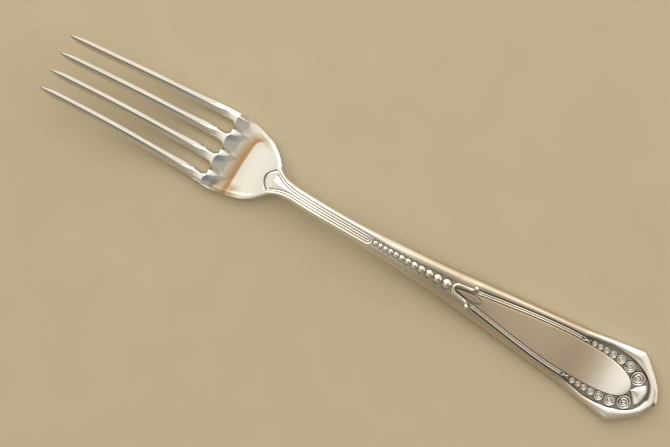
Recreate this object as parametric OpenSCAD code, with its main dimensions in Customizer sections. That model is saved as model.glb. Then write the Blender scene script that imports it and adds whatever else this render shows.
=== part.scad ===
// Table fork with four tines, a reeded stem and a handle with beads, a husk flower and rosettes
// The fork lies face up along X with its tine tips towards -X, and rests on bowl and handle

/* [Overall] */
// Length from the tine tips to the handle end
fork_len = 190.5; // [165:0.5:210]
// Height of the tine tips above the table
tip_rise = 18.5; // [14:0.5:22]
// Height of the stem's underside at the top of its arch
arch_rise = 5.2; // [3.5:0.1:6.5]
// Height of the underside at the very end of the handle
end_lift = 2; // [0.6:0.1:2.6]

/* [Tines] */
// Length of the slots between the tines
tine_len = 50.6; // [42:0.2:58]
// Distance between the points of the two outer tines
tip_span = 16.1; // [13:0.1:19]
// Width of a tine where its slot ends
tine_root_w = 2.9; // [2.3:0.1:3.4]
// Width of a tine just behind its point
tine_tip_w = 2.2; // [1.8:0.1:2.6]
// Thickness of a tine where its slot ends
tine_root_t = 2.3; // [1.8:0.1:2.8]
// Thickness of a tine just behind its point
tine_tip_t = 1.4; // [1:0.1:1.8]
// Length of the tapered point
point_len = 5.5; // [4:0.1:8]
// Width and thickness of the blunt end of a point
point_w = 0.4; // [0.3:0.05:0.8]
// Width of the ridge that runs along a tine
ridge_w = 0.5; // [0.3:0.05:0.9]
// Width of the flat on a tine where its slot ends
root_flat_w = 2; // [1.4:0.1:2.4]
// Length over which the ridge opens into that flat
facet_len = 7; // [5:0.2:10]
// Length of the vee that each slot leaves in the bowl
vee_len = 3.8; // [2.6:0.1:5]

/* [Bowl] */
// Greatest width, across the outer tines
head_w = 22.4; // [20:0.1:25]
// Length from the end of the slots to the slim stem
shoulder_len = 22.6; // [19:0.1:26]
// Thickness of the bowl
bowl_t = 2.3; // [1.9:0.1:2.8]
// Height of the bowl's edges over its middle
bowl_dish = 0.4; // [0.2:0.1:1]
// Length of the flat that the bowl rests on
belly_len = 3.6; // [2.6:0.1:4.6]
// Depth of the arc line between bowl and stem
arc_d = 0.25; // [0.15:0.05:0.4]
// Width of the arc line
arc_w = 0.7; // [0.5:0.05:1]

/* [Stem] */
// Width of the stem where it is slimmest
stem_w = 5; // [4.4:0.1:5.8]
// Thickness of the stem
stem_t = 3.6; // [3:0.1:4.2]
// Share of the fork's length that lies in front of the beads
reeds_share = 0.518; // [0.5:0.002:0.535]
// Width across the four reeds
reed_w = 2.1; // [1.7:0.05:2.5]
// Depth of the grooves between the reeds
reed_d = 0.25; // [0.15:0.05:0.35]

/* [Handle] */
// Greatest width, at the corners near the end
handle_w = 21.9; // [20:0.1:25]
// Length from those corners to the end
tip_len = 9.7; // [8:0.1:12]
// Thickness of the handle at its rosettes
handle_t = 2.9; // [2.3:0.1:3.2]
// Thickness of the handle at its very end
end_t = 2.4; // [1.9:0.1:2.7]
// Thickness of the handle at the flower
flower_t = 3.2; // [2.6:0.1:3.5]
// Thickness of the outer edge
edge_t = 1; // [0.7:0.1:1.3]
// Depth of the sunk ground under the ornament
ground_d = 0.5; // [0.35:0.05:0.65]
// Length of the flat that the handle rests on
rest_len = 14; // [8:0.5:18]
// Distance from that flat to the handle end
rest_gap = 18.5; // [14:0.5:24]

/* [Ornament] */
// Number of beads
bead_count = 12; // [8:1:13]
// Width of the smallest bead
bead_first_d = 1.55; // [1.3:0.05:1.8]
// Width of the largest bead
bead_last_d = 3.05; // [2.6:0.05:3.3]
// Length of the husk flower
flower_len = 10.6; // [9:0.1:12.5]
// Width over the two curled petals
petal_span = 7; // [6:0.1:7.6]
// Width of a petal
petal_w = 1.3; // [0.9:0.05:1.4]
// Greatest width of the leaf between the petals
leaf_w = 2.2; // [1.6:0.1:2.6]
// Greatest width of the smooth panel
panel_w = 10.2; // [9:0.1:11]
// Width of the band of reeds beside the panel
border_w = 1.45; // [1.1:0.05:1.7]
// Length of a ribbon knot
knot_len = 2.8; // [2.2:0.1:3.2]
// Number of rosettes in each row
rosette_count = 7; // [5:1:7]
// Width of the smallest rosette
rosette_first_d = 1.7; // [1.4:0.05:1.9]
// Width of the largest rosette
rosette_last_d = 4.3; // [3.8:0.05:4.5]
// Width of the rim at the handle end
rim_end_w = 2.75; // [2.2:0.05:3.4]
// Gap between neighbouring pieces of ornament
clearance = 0.12; // [0.08:0.01:0.2]

/* [Hidden] */

// Tones of the plate: polished, satin, and bright on the raised ornament
polished = [0.84, 0.82, 0.78];
satin = [0.72, 0.68, 0.62];
bright = [0.93, 0.92, 0.89];

// Smooth curves and lofts

// Part of the way from a to b
function mix(a, b, t) = a + (b - a) * t;
// A number held between 0 and 1
function held(t) = min(max(t, 0), 1);
// Smooth rise from 0 to 1
function ease(t) = let (c = held(t)) c * c * (3 - 2 * c);
// Slope of a table of pairs at one of its rows
function slope_at(rows, i) =
    let (a = max(i - 1, 0), b = min(i + 1, len(rows) - 1))
    (rows[b][1] - rows[a][1]) / (rows[b][0] - rows[a][0]);
// Row of the table in front of x
function row_at(rows, x, i = 0) =
    (i >= len(rows) - 2 || x < rows[i + 1][0]) ? i : row_at(rows, x, i + 1);
// Cubic from a to b with a slope at each end
function cubic(a, b, slope_a, slope_b, span, t) =
    a * (2 * t * t * t - 3 * t * t + 1) + slope_a * span * (t * t * t - 2 * t * t + t)
    + b * (3 * t * t - 2 * t * t * t) + slope_b * span * (t * t * t - t * t);
// Height at x of the smooth curve through a table of pairs
function curve(rows, x) =
    let (i = row_at(rows, x), span = rows[i + 1][0] - rows[i][0], t = held((x - rows[i][0]) / span))
    cubic(rows[i][1], rows[i + 1][1], slope_at(rows, i), slope_at(rows, i + 1), span, t);
// A place s along the fork from the tine tips
function at(s, y, z) = [s - fork_len / 2, y, z];
// Closed outline from the points of its +Y half, given from top to bottom
function both_sides(half) = concat(half, [
    for (i = [len(half) - 1:-1:0]) if (half[i][0] > 0) [-half[i][0], half[i][1]]
]);

// Closed solid through a row of outlines with equal numbers of points. Its end faces are listed
// from the outline's point `start`, or the first one in the parts that are given
module loft(rings, start = 0, first_face = []) {
    n = len(rings[0]);
    last = len(rings) - 1;
    sides = [
        for (k = [0:last - 1], i = [0:n - 1])
            let (a = k * n + i, b = k * n + (i + 1) % n)
            each [[a, b, b + n], [a, b + n, a + n]]
    ];
    front = len(first_face) > 0 ? first_face : [[for (i = [n:-1:1]) (i + start) % n]];
    back = [for (i = [0:n - 1]) last * n + (i + start) % n];
    polyhedron([for (ring = rings) each ring], concat(sides, front, [back]), convexity = 6);
}

// Side view: the underside, and the body above it

stem_s = tine_len + shoulder_len;
belly_end = tine_len + belly_len;
reed_end = reeds_share * fork_len;
rest_end = fork_len - rest_gap;
rest_start = rest_end - rest_len;
arch_share = 0.29;
arch_s = mix(belly_end, rest_start, arch_share);
tine_bend = 1.6;
tip_under = tip_rise - point_w / 2 - tine_tip_t / 2;
function underside(s) =
    s < tine_len ? tip_under * pow(1 - s / tine_len, tine_bend)
    : s < belly_end ? 0
    : s < arch_s ? arch_rise * ease((s - belly_end) / (arch_s - belly_end))
    : s < rest_start ? arch_rise * (1 - ease((s - arch_s) / (rest_start - arch_s)))
    : s < rest_end ? 0
    : end_lift * pow((s - rest_end) / rest_gap, 2);
thicken_share = 0.3;
function body_t(s) =
    mix(bowl_t, stem_t, ease((s - mix(tine_len, stem_s, thicken_share)) / shoulder_len));
function top_side(s) = underside(s) + body_t(s);

// Plan view of bowl and neck

shoulder_shares = [
    [0, 1], [0.1, 1], [0.18, 0.985], [0.28, 0.935], [0.4, 0.85], [0.52, 0.73], [0.64, 0.515],
    [0.7, 0.355], [0.76, 0.19], [0.82, 0.085], [0.88, 0.03], [1, 0]
];
function head_half(s) =
    mix(stem_w / 2, head_w / 2, curve(shoulder_shares, (s - tine_len) / shoulder_len));
root_pitch = (head_w - tine_root_w) / 3;
tip_pitch = tip_span / 3;
neck_share = 0.73;
neck_s = mix(tine_len, stem_s, neck_share);
// The bowl's middle is flat, and its edges rise
flat_share = root_pitch / (head_w / 2);
function dish(s, y) =
    let (half = s < tine_len ? head_w / 2 : head_half(s))
    let (out = held((abs(y) / half - flat_share) / (1 - flat_share)))
    bowl_dish * out * out * (1 - ease((s - belly_end) / (neck_s - belly_end)));

// Tines

splay = 1.35;
taper_share = 0.3;
lift_share = 0.3;
crown_shares = [0.55, 0.35];
function pitch_at(s) = mix(tip_pitch, root_pitch, pow(s / tine_len, splay));
function pointed(s) = 1 - pow(1 - held(s / point_len), 2);
function tine_half(s) = mix(point_w, mix(tine_tip_w, tine_root_w, s / tine_len), pointed(s)) / 2;
function full_tine_t(s) = mix(tine_tip_t, tine_root_t, s / tine_len);
function tine_t(s) = mix(point_w, full_tine_t(s), pointed(s));
slot_r = (root_pitch - tine_root_w) / 2;
slot_round_s = tine_len - slot_r;
slot_half = pitch_at(slot_round_s) / 2 - tine_half(slot_round_s);
function gap_half(s) =
    s < slot_round_s ? pitch_at(s) / 2 - tine_half(s)
    : slot_half * sqrt(held(1 - pow((s - slot_round_s) / slot_r, 2)));
function ridge_half(s) =
    mix(ridge_w / 2 * pointed(s) + point_w / 4 * (1 - pointed(s)), root_flat_w / 2,
        ease((s - tine_len + facet_len) / facet_len));
bevel_share = 0.3;

// Outline of a tine across its length; the last one fills the whole pitch
function tine_ring(i, s) =
    let (
        middle = (i - 1.5) * pitch_at(s),
        beside = pitch_at(s) / 2 - gap_half(s),
        left = i == 3 ? tine_half(s) : beside,
        right = i == 0 ? tine_half(s) : beside,
        t = tine_t(s),
        low = underside(s) + (full_tine_t(s) - t) / 2,
        high = low + t,
        flat = ridge_half(s),
        drop = bevel_share * t,
        inset = taper_share * tine_half(s) * ease((tine_len - s) / slot_r),
        lift = lift_share * t,
        half_points = function (reach) [
            [flat, high], [mix(flat, reach, crown_shares[0]), high - crown_shares[1] * drop],
            [reach, high - drop], [reach, low + lift], [reach - inset, low]
        ],
        plus = half_points(left),
        minus = half_points(right),
        points = concat(plus, [for (k = [len(minus) - 1:-1:0]) [-minus[k][0], minus[k][1]]])
    )
    [for (p = points) at(s, middle + p[0], p[1] + dish(s, middle + p[0]))];

point_shares = [0, 0.05, 0.14, 0.28, 0.5, 0.75, 1];
tine_steps = 13;
round_steps = 6;
tine_stations = concat(
    [for (k = point_shares) k * point_len],
    [for (k = [1:tine_steps]) mix(point_len, slot_round_s, k / tine_steps)],
    [for (k = [1:round_steps]) slot_round_s + slot_r * sin(90 * k / round_steps)]
);

module tine(i) {
    color(polished) loft([for (s = tine_stations) tine_ring(i, s)]);
}

// Bowl

arc_half = 0.64 * stem_w;
arc_len = 0.4 * stem_w;
arc_s = neck_s - arc_w / 2;
vee_end = tine_len + vee_len;
vee_rest = 0.06 * root_pitch;
rim_w = 0.4 * tine_root_w;
edge_drop = 0.16 * bowl_t;
// Places of the lines along the bowl's face, as shares of its half width at the neck
neck_line_shares = [0, 0.09, 0.18, 0.3, 0.4, 0.5, 0.6, 0.68, 0.75, 0.84, 0.92, 1];
// Lines along the face at s: each is [place, drop], from the middle to the edge
function face_lines(s) =
    let (
        t = held((s - tine_len) / vee_len),
        drop = bevel_share * tine_root_t * (1 - t),
        open = mix(root_pitch / 2 - root_flat_w / 2, vee_rest, t),
        crown = 1 - crown_shares[0],
        outer = mix(1.5 * root_pitch + root_flat_w / 2, head_w / 2 - rim_w, t),
        edge = mix(bevel_share * tine_root_t, edge_drop, t)
    )
    [
        [0, drop], [open * crown, crown_shares[1] * drop], [open, 0],
        [root_pitch - open, 0], [root_pitch - open * crown, crown_shares[1] * drop], [root_pitch, drop],
        [root_pitch + open * crown, crown_shares[1] * drop], [root_pitch + open, 0],
        [mix(root_pitch + open, outer, 0.5), 0], [outer, 0],
        [mix(outer, head_w / 2, crown_shares[0]), crown_shares[1] * edge], [head_w / 2, edge]
    ];
function bowl_ring(s, arc, groove) =
    let (
        half = head_half(s),
        to_neck = ease((s - vee_end) / (neck_s - vee_end)),
        lines = face_lines(s),
        inset = 0.12 * half * held((s - tine_len) / vee_len),
        lift = lift_share * tine_root_t,
        face = [
            for (k = [0:len(lines) - 1])
                let (
                    y = half * mix(lines[k][0] / (head_w / 2), neck_line_shares[k], to_neck),
                    bow = max(0, 1 - pow(y / arc_half, 2)),
                    place = s - arc * arc_len * bow,
                    cut = y < arc_half ? groove : 0
                )
                [place, y, top_side(place) - lines[k][1] - cut + dish(s, y)]
        ],
        back = [
            [s, half, underside(s) + lift + dish(s, half)],
            [s, half - inset, underside(s) + dish(s, half - inset)],
            [s, half * flat_share, underside(s)]
        ],
        side = concat(face, back)
    )
    concat(
        [for (p = side) at(p[0], p[1], p[2])],
        [for (k = [len(side) - 1:-1:1]) at(side[k][0], -side[k][1], side[k][2])]
    );

vee_steps = 4;
bowl_steps = 12;
bowl_rows = concat(
    [for (k = [0:vee_steps]) [mix(tine_len, vee_end, k / vee_steps), 0, 0]],
    [
        for (k = [1:bowl_steps])
            let (s = mix(vee_end, arc_s - arc_w / 2, k / bowl_steps))
            [s, ease((s - vee_end) / (arc_s - arc_w / 2 - vee_end)), 0]
    ],
    [[arc_s, 1, arc_d], [neck_s, 0, 0]]
);

// The face against the tines falls into parts, each seen whole from one of its two feet, which
// lie under the outer slots
slot_point = 5;
foot = len(neck_line_shares) + 2;
ring_len = 2 * foot + 1;
bowl_first_face = [
    [for (i = [foot:-1:slot_point]) i],
    concat([foot], [for (i = [slot_point:-1:0]) i]),
    [foot, 0, foot + 1],
    concat([foot + 1, 0], [for (i = [1:slot_point]) ring_len - i]),
    concat([foot + 1], [for (i = [ring_len - slot_point:-1:foot + 2]) i])
];

module bowl() {
    color(polished) loft([for (r = bowl_rows) bowl_ring(r[0], r[1], r[2])], foot - 2, bowl_first_face);
}

// Stem with four reeds, which spread towards the bowl

spread_shares = [[0, 1], [0.15, 0.62], [0.32, 0.3], [0.5, 0.11], [0.7, 0.02], [1, 0]];
spread_len = 0.42 * shoulder_len;
reed_half = reed_w / 2;
inner_share = 0.38;
fall_share = 0.42;
flank_shares = [[0, 0], [0.35, 0.07], [0.65, 0.27], [0.87, 0.6], [1, 1]];
groove_run = 0.4 * reed_w;
// The grooves run out at both ends of the stem
function groove_d(s) = reed_d * held(min(s - neck_s, reed_end - s) / groove_run);
function spread(s) = curve(spread_shares, held((s - neck_s) / spread_len));
function outer_groove(s) = mix(reed_half, arc_half, spread(s));
function inner_groove(s) = mix(inner_share * reed_half, 0.9 * arc_half, spread(s));
function stem_ring(s) =
    let (
        half = s < stem_s ? head_half(s) : handle_half(s),
        a = inner_groove(s),
        b = outer_groove(s),
        crest = b + 0.16 * reed_half,
        high = top_side(s),
        fall = fall_share * body_t(s),
        low = underside(s),
        groove = groove_d(s),
        middle = groove * (1 - held(spread(s) * 4)),
        lift = lift_share * body_t(s)
    )
    [
        for (p = both_sides(concat(
            [[0, high - middle], [a / 2, high], [a, high - groove], [(a + b) / 2, high]],
            [[b, high - groove]],
            [for (f = flank_shares) [mix(crest, half, f[0]), high - f[1] * fall]],
            [[half, low + lift], [0.8 * half, low + 0.3 * lift], [0.45 * half, low]]
        ))) at(s, p[0], p[1])
    ];

spread_steps = 8;
stem_steps = 11;
stem_stations = concat(
    [for (k = [0:spread_steps]) neck_s + spread_len * k / spread_steps],
    [for (k = [1:stem_steps]) mix(neck_s + spread_len, reed_end - groove_run, k / stem_steps)],
    [reed_end]
);

stem_edge_point = 5 + len(flank_shares);
module reeded_stem() {
    color(polished) loft([for (s = stem_stations) stem_ring(s)], stem_edge_point);
}

// Plan view of the handle

corner_s = fork_len - tip_len;
handle_shares = [
    [0, 0], [0.1, 0], [0.2, 0.02], [0.33, 0.115], [0.46, 0.235], [0.59, 0.405], [0.725, 0.587],
    [0.855, 0.75], [0.94, 0.895], [1, 1]
];
handle_end_shares = [
    [0, 1], [0.06, 0.99], [0.13, 0.95], [0.274, 0.846], [0.42, 0.73], [0.564, 0.612], [0.708, 0.487],
    [0.83, 0.357], [0.92, 0.222], [0.975, 0.11], [1, 0.06]
];
function handle_half(s) =
    s < corner_s
    ? mix(stem_w / 2, handle_w / 2, curve(handle_shares, (s - stem_s) / (corner_s - stem_s)))
    : handle_w / 2 * curve(handle_end_shares, (s - corner_s) / tip_len);

// Chain of beads, each as wide as its place in the row asks

bead_s = reed_end + 3 * clearance;
function bead_d(k) = mix(bead_first_d, bead_last_d, pow(k / (bead_count - 1), 2));
function bead_start(k) = k == 0 ? bead_s : bead_start(k - 1) + bead_d(k - 1) + clearance / 4;
flower_s = bead_start(bead_count) + clearance;
flower_end = flower_s + flower_len;

// Panel: a long taper that ends in a rounded arch

panel_half_w = panel_w / 2;
ring_out = 1.36;
panel_end = fork_len - rim_end_w - ring_out * rosette_last_d;
arch_power = 2.5;
panel_arch_len = 1.52 * panel_w;
panel_arch_s = panel_end - panel_arch_len;
panel_shares = [[0, 0.36], [0.15, 0.5], [0.5, 0.8], [0.78, 0.965], [1, 1]];
function panel_half(s) =
    s < panel_arch_s
    ? panel_half_w * curve(panel_shares, (s - flower_end) / (panel_arch_s - flower_end))
    : panel_half_w
        * pow(held(1 - pow((s - panel_arch_s) / panel_arch_len, arch_power)), 1 / arch_power);
function panel_rim(angle) = [
    panel_arch_s + panel_arch_len * pow(sin(angle), 2 / arch_power),
    panel_half_w * pow(cos(angle), 2 / arch_power)
];

// Ribbon knots lie just before the panel's arch
knot_s = panel_arch_s - knot_len / 2 - clearance;

// Sunk ground of the ornament: its half width in plan

curl_s = flower_s + 0.66 * flower_len;
ground_w_half = panel_half_w + 2 * clearance + 0.63 * rosette_last_d;
ground_end = fork_len - rim_end_w;
ground_arch_s = panel_arch_s + 0.36 * panel_arch_len;
ground_power = 2.3;
curve_end = knot_s - knot_len / 2 - clearance;
row_ground_half = panel_half_w + rosette_first_d + 3 * clearance;
ground_rows = [
    [reed_end, bead_first_d / 2 + clearance],
    [mix(bead_s, flower_s, 0.5), mix(bead_first_d, bead_last_d, 0.25) / 2 + clearance],
    [flower_s, bead_last_d / 2 + 2 * clearance],
    [mix(flower_s, curl_s, 0.5), mix(bead_last_d, petal_span, 0.25) / 2 + 2 * clearance],
    [curl_s - 1.7 * petal_w, petal_span / 2 + clearance],
    [curl_s + 0.6 * petal_w, petal_span / 2 + 2 * clearance],
    [flower_end, panel_half(flower_end) + border_w + clearance]
];
function ground_half(s) =
    s < flower_end ? curve(ground_rows, s)
    : s < curve_end ? panel_half(s) + border_w + clearance
    : s < panel_arch_s
    ? mix(panel_half(curve_end) + border_w + clearance, row_ground_half,
        ease((s - curve_end) / (panel_arch_s - curve_end)))
    : s < ground_arch_s
    ? mix(row_ground_half, ground_w_half, (s - panel_arch_s) / (ground_arch_s - panel_arch_s))
    : ground_w_half * pow(
        held(1 - pow(held((s - ground_arch_s) / (ground_end - ground_arch_s)), ground_power)),
        1 / ground_power);

// Sunk ground of the ornament: two straight runs in the side view, joined by a curve

bead_ground = top_side(reed_end) - ground_d;
flower_ground = underside(flower_end) + flower_t - ground_d;
knot_ground = underside(knot_s) + handle_t - ground_d;
end_ground = end_lift + end_t - ground_d;
run_a = (flower_ground - bead_ground) / (flower_end - reed_end);
run_b = (end_ground - knot_ground) / (fork_len - curve_end);
function ground(s) =
    s < flower_end ? bead_ground + run_a * (s - reed_end)
    : s < curve_end
    ? let (span = curve_end - flower_end)
    cubic(flower_ground, knot_ground, run_a, run_b, span, (s - flower_end) / span)
    : knot_ground + run_b * (s - curve_end);

// Handle body

wall_run = 0.3 * ground_d;
close_len = 0.3 * ground_d;
function handle_ring(s, c, sunk) =
    let (
        half = handle_half(s),
        floor_z = ground(s),
        high = floor_z + ground_d,
        low = underside(s),
        edge_low = low + 0.2 * (high - low),
        edge_high = edge_low + min(edge_t, 0.5 * (high - low)),
        wall = c + wall_run,
        side = concat(
            [[c, sunk ? floor_z : high], [wall, high]],
            [for (k = [1:len(flank_shares) - 1])
                [mix(wall, half, flank_shares[k][0]), mix(high, edge_high, flank_shares[k][1])]],
            [[half, edge_low], [0.86 * half, low + 0.04 * handle_t], [0.6 * half, low]]
        )
    )
    [for (p = both_sides(side)) at(s, p[0], p[1])];

bead_steps = 10;
flower_steps = 9;
border_steps = 12;
arch_steps = 12;
turn_steps = 10;
nose_steps = 7;
border_stations = [for (k = [0:border_steps]) mix(flower_end, curve_end, k / border_steps)];
arch_stations = concat(
    [for (k = [1:arch_steps]) mix(curve_end, corner_s, k / arch_steps)],
    [for (k = [1:turn_steps - 1]) mix(corner_s, ground_end, sin(90 * k / turn_steps))]
);
end_half = 0.1 * ground_w_half;
handle_rows = concat(
    [reed_end + close_len],
    [for (k = [1:bead_steps - 1]) mix(reed_end, flower_s, k / bead_steps)],
    [for (k = [0:flower_steps - 1]) mix(flower_s, flower_end, k / flower_steps)],
    border_stations,
    arch_stations
);

nose_rings = [
    for (k = [0:nose_steps])
        handle_ring(
            mix(ground_end + close_len, fork_len, sin(90 * k / nose_steps)),
            end_half * (1 - 0.9 * k / nose_steps),
            false
        )
];
edge_point = 1 + len(flank_shares);
module handle() {
    color(polished) loft(concat(
        [handle_ring(reed_end, ground_half(reed_end), false)],
        [for (s = handle_rows) handle_ring(s, ground_half(s), true)],
        [handle_ring(ground_end, end_half, true)],
        nose_rings
    ), edge_point);
}

// Puts a piece on the sunk ground at s, leaning with it
module on_ground(s, y) {
    slope = s < flower_end ? run_a : run_b;
    translate(at(s, y, ground(s))) rotate([0, -atan(slope), 0]) children();
}

// Row of beads: each is the cap of a ball

cap_share = 0.75;
module bead(d) {
    rise = cap_share * d / 2;
    ball_r = (d * d / 4 + rise * rise) / (2 * rise);
    intersection() {
        translate([0, 0, rise - ball_r]) sphere(ball_r, $fn = 48);
        cylinder(h = d, r = d, $fn = 48);
    }
}
module bead_row() {
    color(bright) for (k = [0:bead_count - 1]) {
        on_ground(bead_start(k) + bead_d(k) / 2, 0) bead(bead_d(k));
    }
}

// Husk flower: two petals from one cup, and a leaf between them

petal_steps = 15;
petal_h = 1.4 * ground_d;
cup_r = 0.32 * bead_last_d;
curl_r = 0.23 * petal_span;
// Plan of a petal's middle line: a cup arc, a straight run, and the outward curl
lean = 10;
cup_turn = 90 - lean;
curl_turn = 85;
petal_from = [flower_s + petal_w / 2, 0];
cup_to = petal_from + cup_r * [1 - cos(cup_turn), sin(cup_turn)];
run_to = [
    curl_s - curl_r * (1 - sin(lean)),
    petal_span / 2 - curl_r * (cos(lean) - cos(lean + curl_turn))
];
function petal_line(t) =
    t < 0.3
    ? let (a = cup_turn * t / 0.3) petal_from + cup_r * [1 - cos(a), sin(a)]
    : t < 0.6
    ? mix(cup_to, run_to, (t - 0.3) / 0.3)
    : let (a = lean + curl_turn * (t - 0.6) / 0.4)
        run_to + curl_r * [sin(a) - sin(lean), cos(lean) - cos(a)];
function petal_heading(t) =
    t < 0.3 ? 90 - cup_turn * t / 0.3
    : t < 0.6 ? lean
    : lean + curl_turn * (t - 0.6) / 0.4;
function petal_ring(t, side) =
    let (
        p = petal_line(t),
        a = petal_heading(t),
        w = petal_w / 2 * (t < 0.9 ? 1 : 1 - 0.6 * (t - 0.9) / 0.1),
        h = petal_h * (0.8 + 0.2 * sin(180 * t)),
        across = [[-1, 0], [-1, 0.55], [-0.5, 0.95], [0, 1], [0.5, 0.95], [1, 0.55], [1, 0]],
        points = [
            for (q = across)
                let (s = p[0] - sin(a) * w * q[0], y = p[1] + cos(a) * w * q[0])
                at(s, side * y, ground(s) + h * q[1])
        ]
    )
    side < 0 ? [for (k = [len(points) - 1:-1:0]) points[k]] : points;
module husk_petals() {
    color(bright) for (side = [-1, 1]) {
        loft([for (k = [0:petal_steps]) petal_ring(k / petal_steps, side)]);
    }
}

leaf_steps = 9;
leaf_from = flower_s + petal_w + 0.1 * flower_len;
leaf_to = flower_end - clearance;
leaf_shares = [[0, 0.2], [0.3, 0.55], [0.55, 0.9], [0.7, 1], [0.85, 0.72], [1, 0.08]];
function leaf_ring(t) =
    let (s = mix(leaf_from, leaf_to, t), w = leaf_w / 2 * curve(leaf_shares, t), h = petal_h)
    [
        for (p = both_sides([[0, 0.8 * h], [0.18 * w, h], [0.6 * w, 0.85 * h], [w, 0.45 * h], [w, 0]]))
            at(s, p[0], ground(s) + p[1])
    ];
module husk_leaf() {
    color(bright) loft([for (k = [0:leaf_steps]) leaf_ring(k / leaf_steps)]);
}

// Smooth panel, level with the rim and a little crowned

panel_crown = 0.25 * ground_d;
function panel_ring(s) =
    let (w = panel_half(s), h = ground_d)
    [
        for (p = both_sides([
            [0, h + panel_crown], [0.4 * w, h + 0.85 * panel_crown], [0.75 * w, h + 0.45 * panel_crown],
            [0.96 * w, h], [w, 0.7 * h], [w, 0]
        ])) at(s, p[0], ground(s) + p[1])
    ];
panel_arch_steps = 12;
panel_nose = 88;
module panel() {
    color(satin) loft(concat(
        [for (s = border_stations) panel_ring(s)],
        [for (k = [0:panel_arch_steps]) panel_ring(panel_rim(panel_nose * k / panel_arch_steps)[0])]
    ));
}

// Two reeds on each side of the panel

lane_w = (border_w - 2 * clearance) / 2;
reed_from = curl_s + petal_w / 2 + 2 * clearance;
panel_slope = panel_half_w * slope_at(panel_shares, 0) / (panel_arch_s - flower_end);
function border_half(s) =
    s < flower_end ? panel_half(flower_end) + panel_slope * (s - flower_end) : panel_half(s);
function border_ring(s, lane, side) =
    let (
        y = border_half(s) + clearance + lane_w * (lane + 0.5),
        w = (lane_w - clearance / 2) / 2,
        points = [[-w, 0], [-w, 0.55], [0, 0.9], [w, 0.55], [w, 0]],
        row = [for (p = points) at(s, side * (y + p[0]), ground(s) + p[1] * ground_d)]
    )
    side < 0 ? [for (k = [len(row) - 1:-1:0]) row[k]] : row;
border_reed_stations = concat(
    [reed_from, mix(reed_from, flower_end, 0.5)],
    [for (k = [0:border_steps - 1]) border_stations[k]],
    [border_stations[border_steps]]
);
module border_reeds(side) {
    color(bright) for (lane = [0, 1]) {
        loft([for (s = border_reed_stations) border_ring(s, lane, side)]);
    }
}

// Crossed ribbons where the reeds end

knot_bar_w = 0.32 * border_w;
knot_angle = 24;
knot_h = 1.1 * ground_d;
module ribbon_bar() {
    bar_len = (knot_len - knot_bar_w) / cos(knot_angle) * 0.9;
    square([bar_len - knot_bar_w, knot_bar_w], center = true);
    for (e = [-1, 1]) {
        translate([e * (bar_len - knot_bar_w) / 2, 0]) circle(d = knot_bar_w, $fn = 24);
    }
}
module ribbon_knots() {
    color(bright) for (side = [-1, 1]) {
        on_ground(knot_s, side * (panel_half(knot_s) + border_w / 2)) linear_extrude(height = knot_h) {
            rotate(knot_angle) ribbon_bar();
            rotate(-knot_angle) ribbon_bar();
        }
    }
}

// Rosettes: a chain that follows the panel's arch, each touching the next

rosette_growth = 2.2;
function rosette_d(k) =
    mix(rosette_first_d, rosette_last_d, pow(k / (rosette_count - 1), rosette_growth));
// Centre of a disc that lies against the panel where its arch has the given angle
function beside_panel(angle, r) =
    let (
        step = 0.5,
        p = panel_rim(angle),
        along = panel_rim(min(angle + step, 90)) - panel_rim(max(angle - step, 0))
    )
    p + (r + clearance) * [-along[1], along[0]] / norm(along);
function next_angle(centre, r_old, r_new, low, high, count) =
    count == 0 ? (low + high) / 2
    : let (
        middle = (low + high) / 2,
        far = norm(beside_panel(middle, r_new) - centre) > r_old + r_new + clearance
    )
    next_angle(centre, r_old, r_new, far ? low : middle, far ? middle : high, count - 1);
first_angle = 1.5;
function rosette_angle(k) =
    k == 0 ? first_angle
    : let (before = rosette_angle(k - 1), r_old = rosette_d(k - 1) / 2)
    next_angle(beside_panel(before, r_old), r_old, rosette_d(k) / 2, before, 90, 22);
rosette_angles = [for (k = [0:rosette_count - 1]) rosette_angle(k)];
rosette_h_share = 0.22;
// Petal rings of a rosette, as shares of its radius and height
rosette_shares = [
    [0, 0.7], [0.1, 0.92], [0.22, 1], [0.32, 0.7], [0.42, 1], [0.56, 0.95], [0.66, 0.62], [0.76, 0.82],
    [0.9, 0.66], [1, 0.3], [1, 0], [0, 0]
];
module rosette(d) {
    h = ground_d / 2 + rosette_h_share * d;
    rotate_extrude($fn = 48) polygon([for (p = rosette_shares) [p[0] * d / 2, p[1] * h]]);
}
module rosettes(side) {
    color(bright) for (k = [0:rosette_count - 1]) {
        centre = beside_panel(rosette_angles[k], rosette_d(k) / 2);
        on_ground(centre[0], side * centre[1]) rosette(rosette_d(k));
    }
}

// Fluted shell between the two largest rosettes and the rim

last_centre = beside_panel(rosette_angles[rosette_count - 1], rosette_last_d / 2);
shell_s = panel_end + 2 * clearance;
shell_gap = last_centre - [shell_s, 0];
// Half angle at which the shell still clears the rosettes, seen from its root
shell_angle =
    atan2(shell_gap[1], shell_gap[0]) - asin((rosette_last_d / 2 + clearance) / norm(shell_gap));
// Length of the shell at an angle from the middle, up to the edge of the ground
function shell_reach(angle, low, high, count) =
    count == 0 ? low
    : let (
        r = (low + high) / 2,
        inside = r * sin(abs(angle)) + clearance < ground_half(shell_s + r * cos(angle) + 2 * clearance)
    )
    shell_reach(angle, inside ? r : low, inside ? high : r, count - 1);
shell_steps = 24;
flutes = 5;
shell_h = 1.5 * ground_d;
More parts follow.
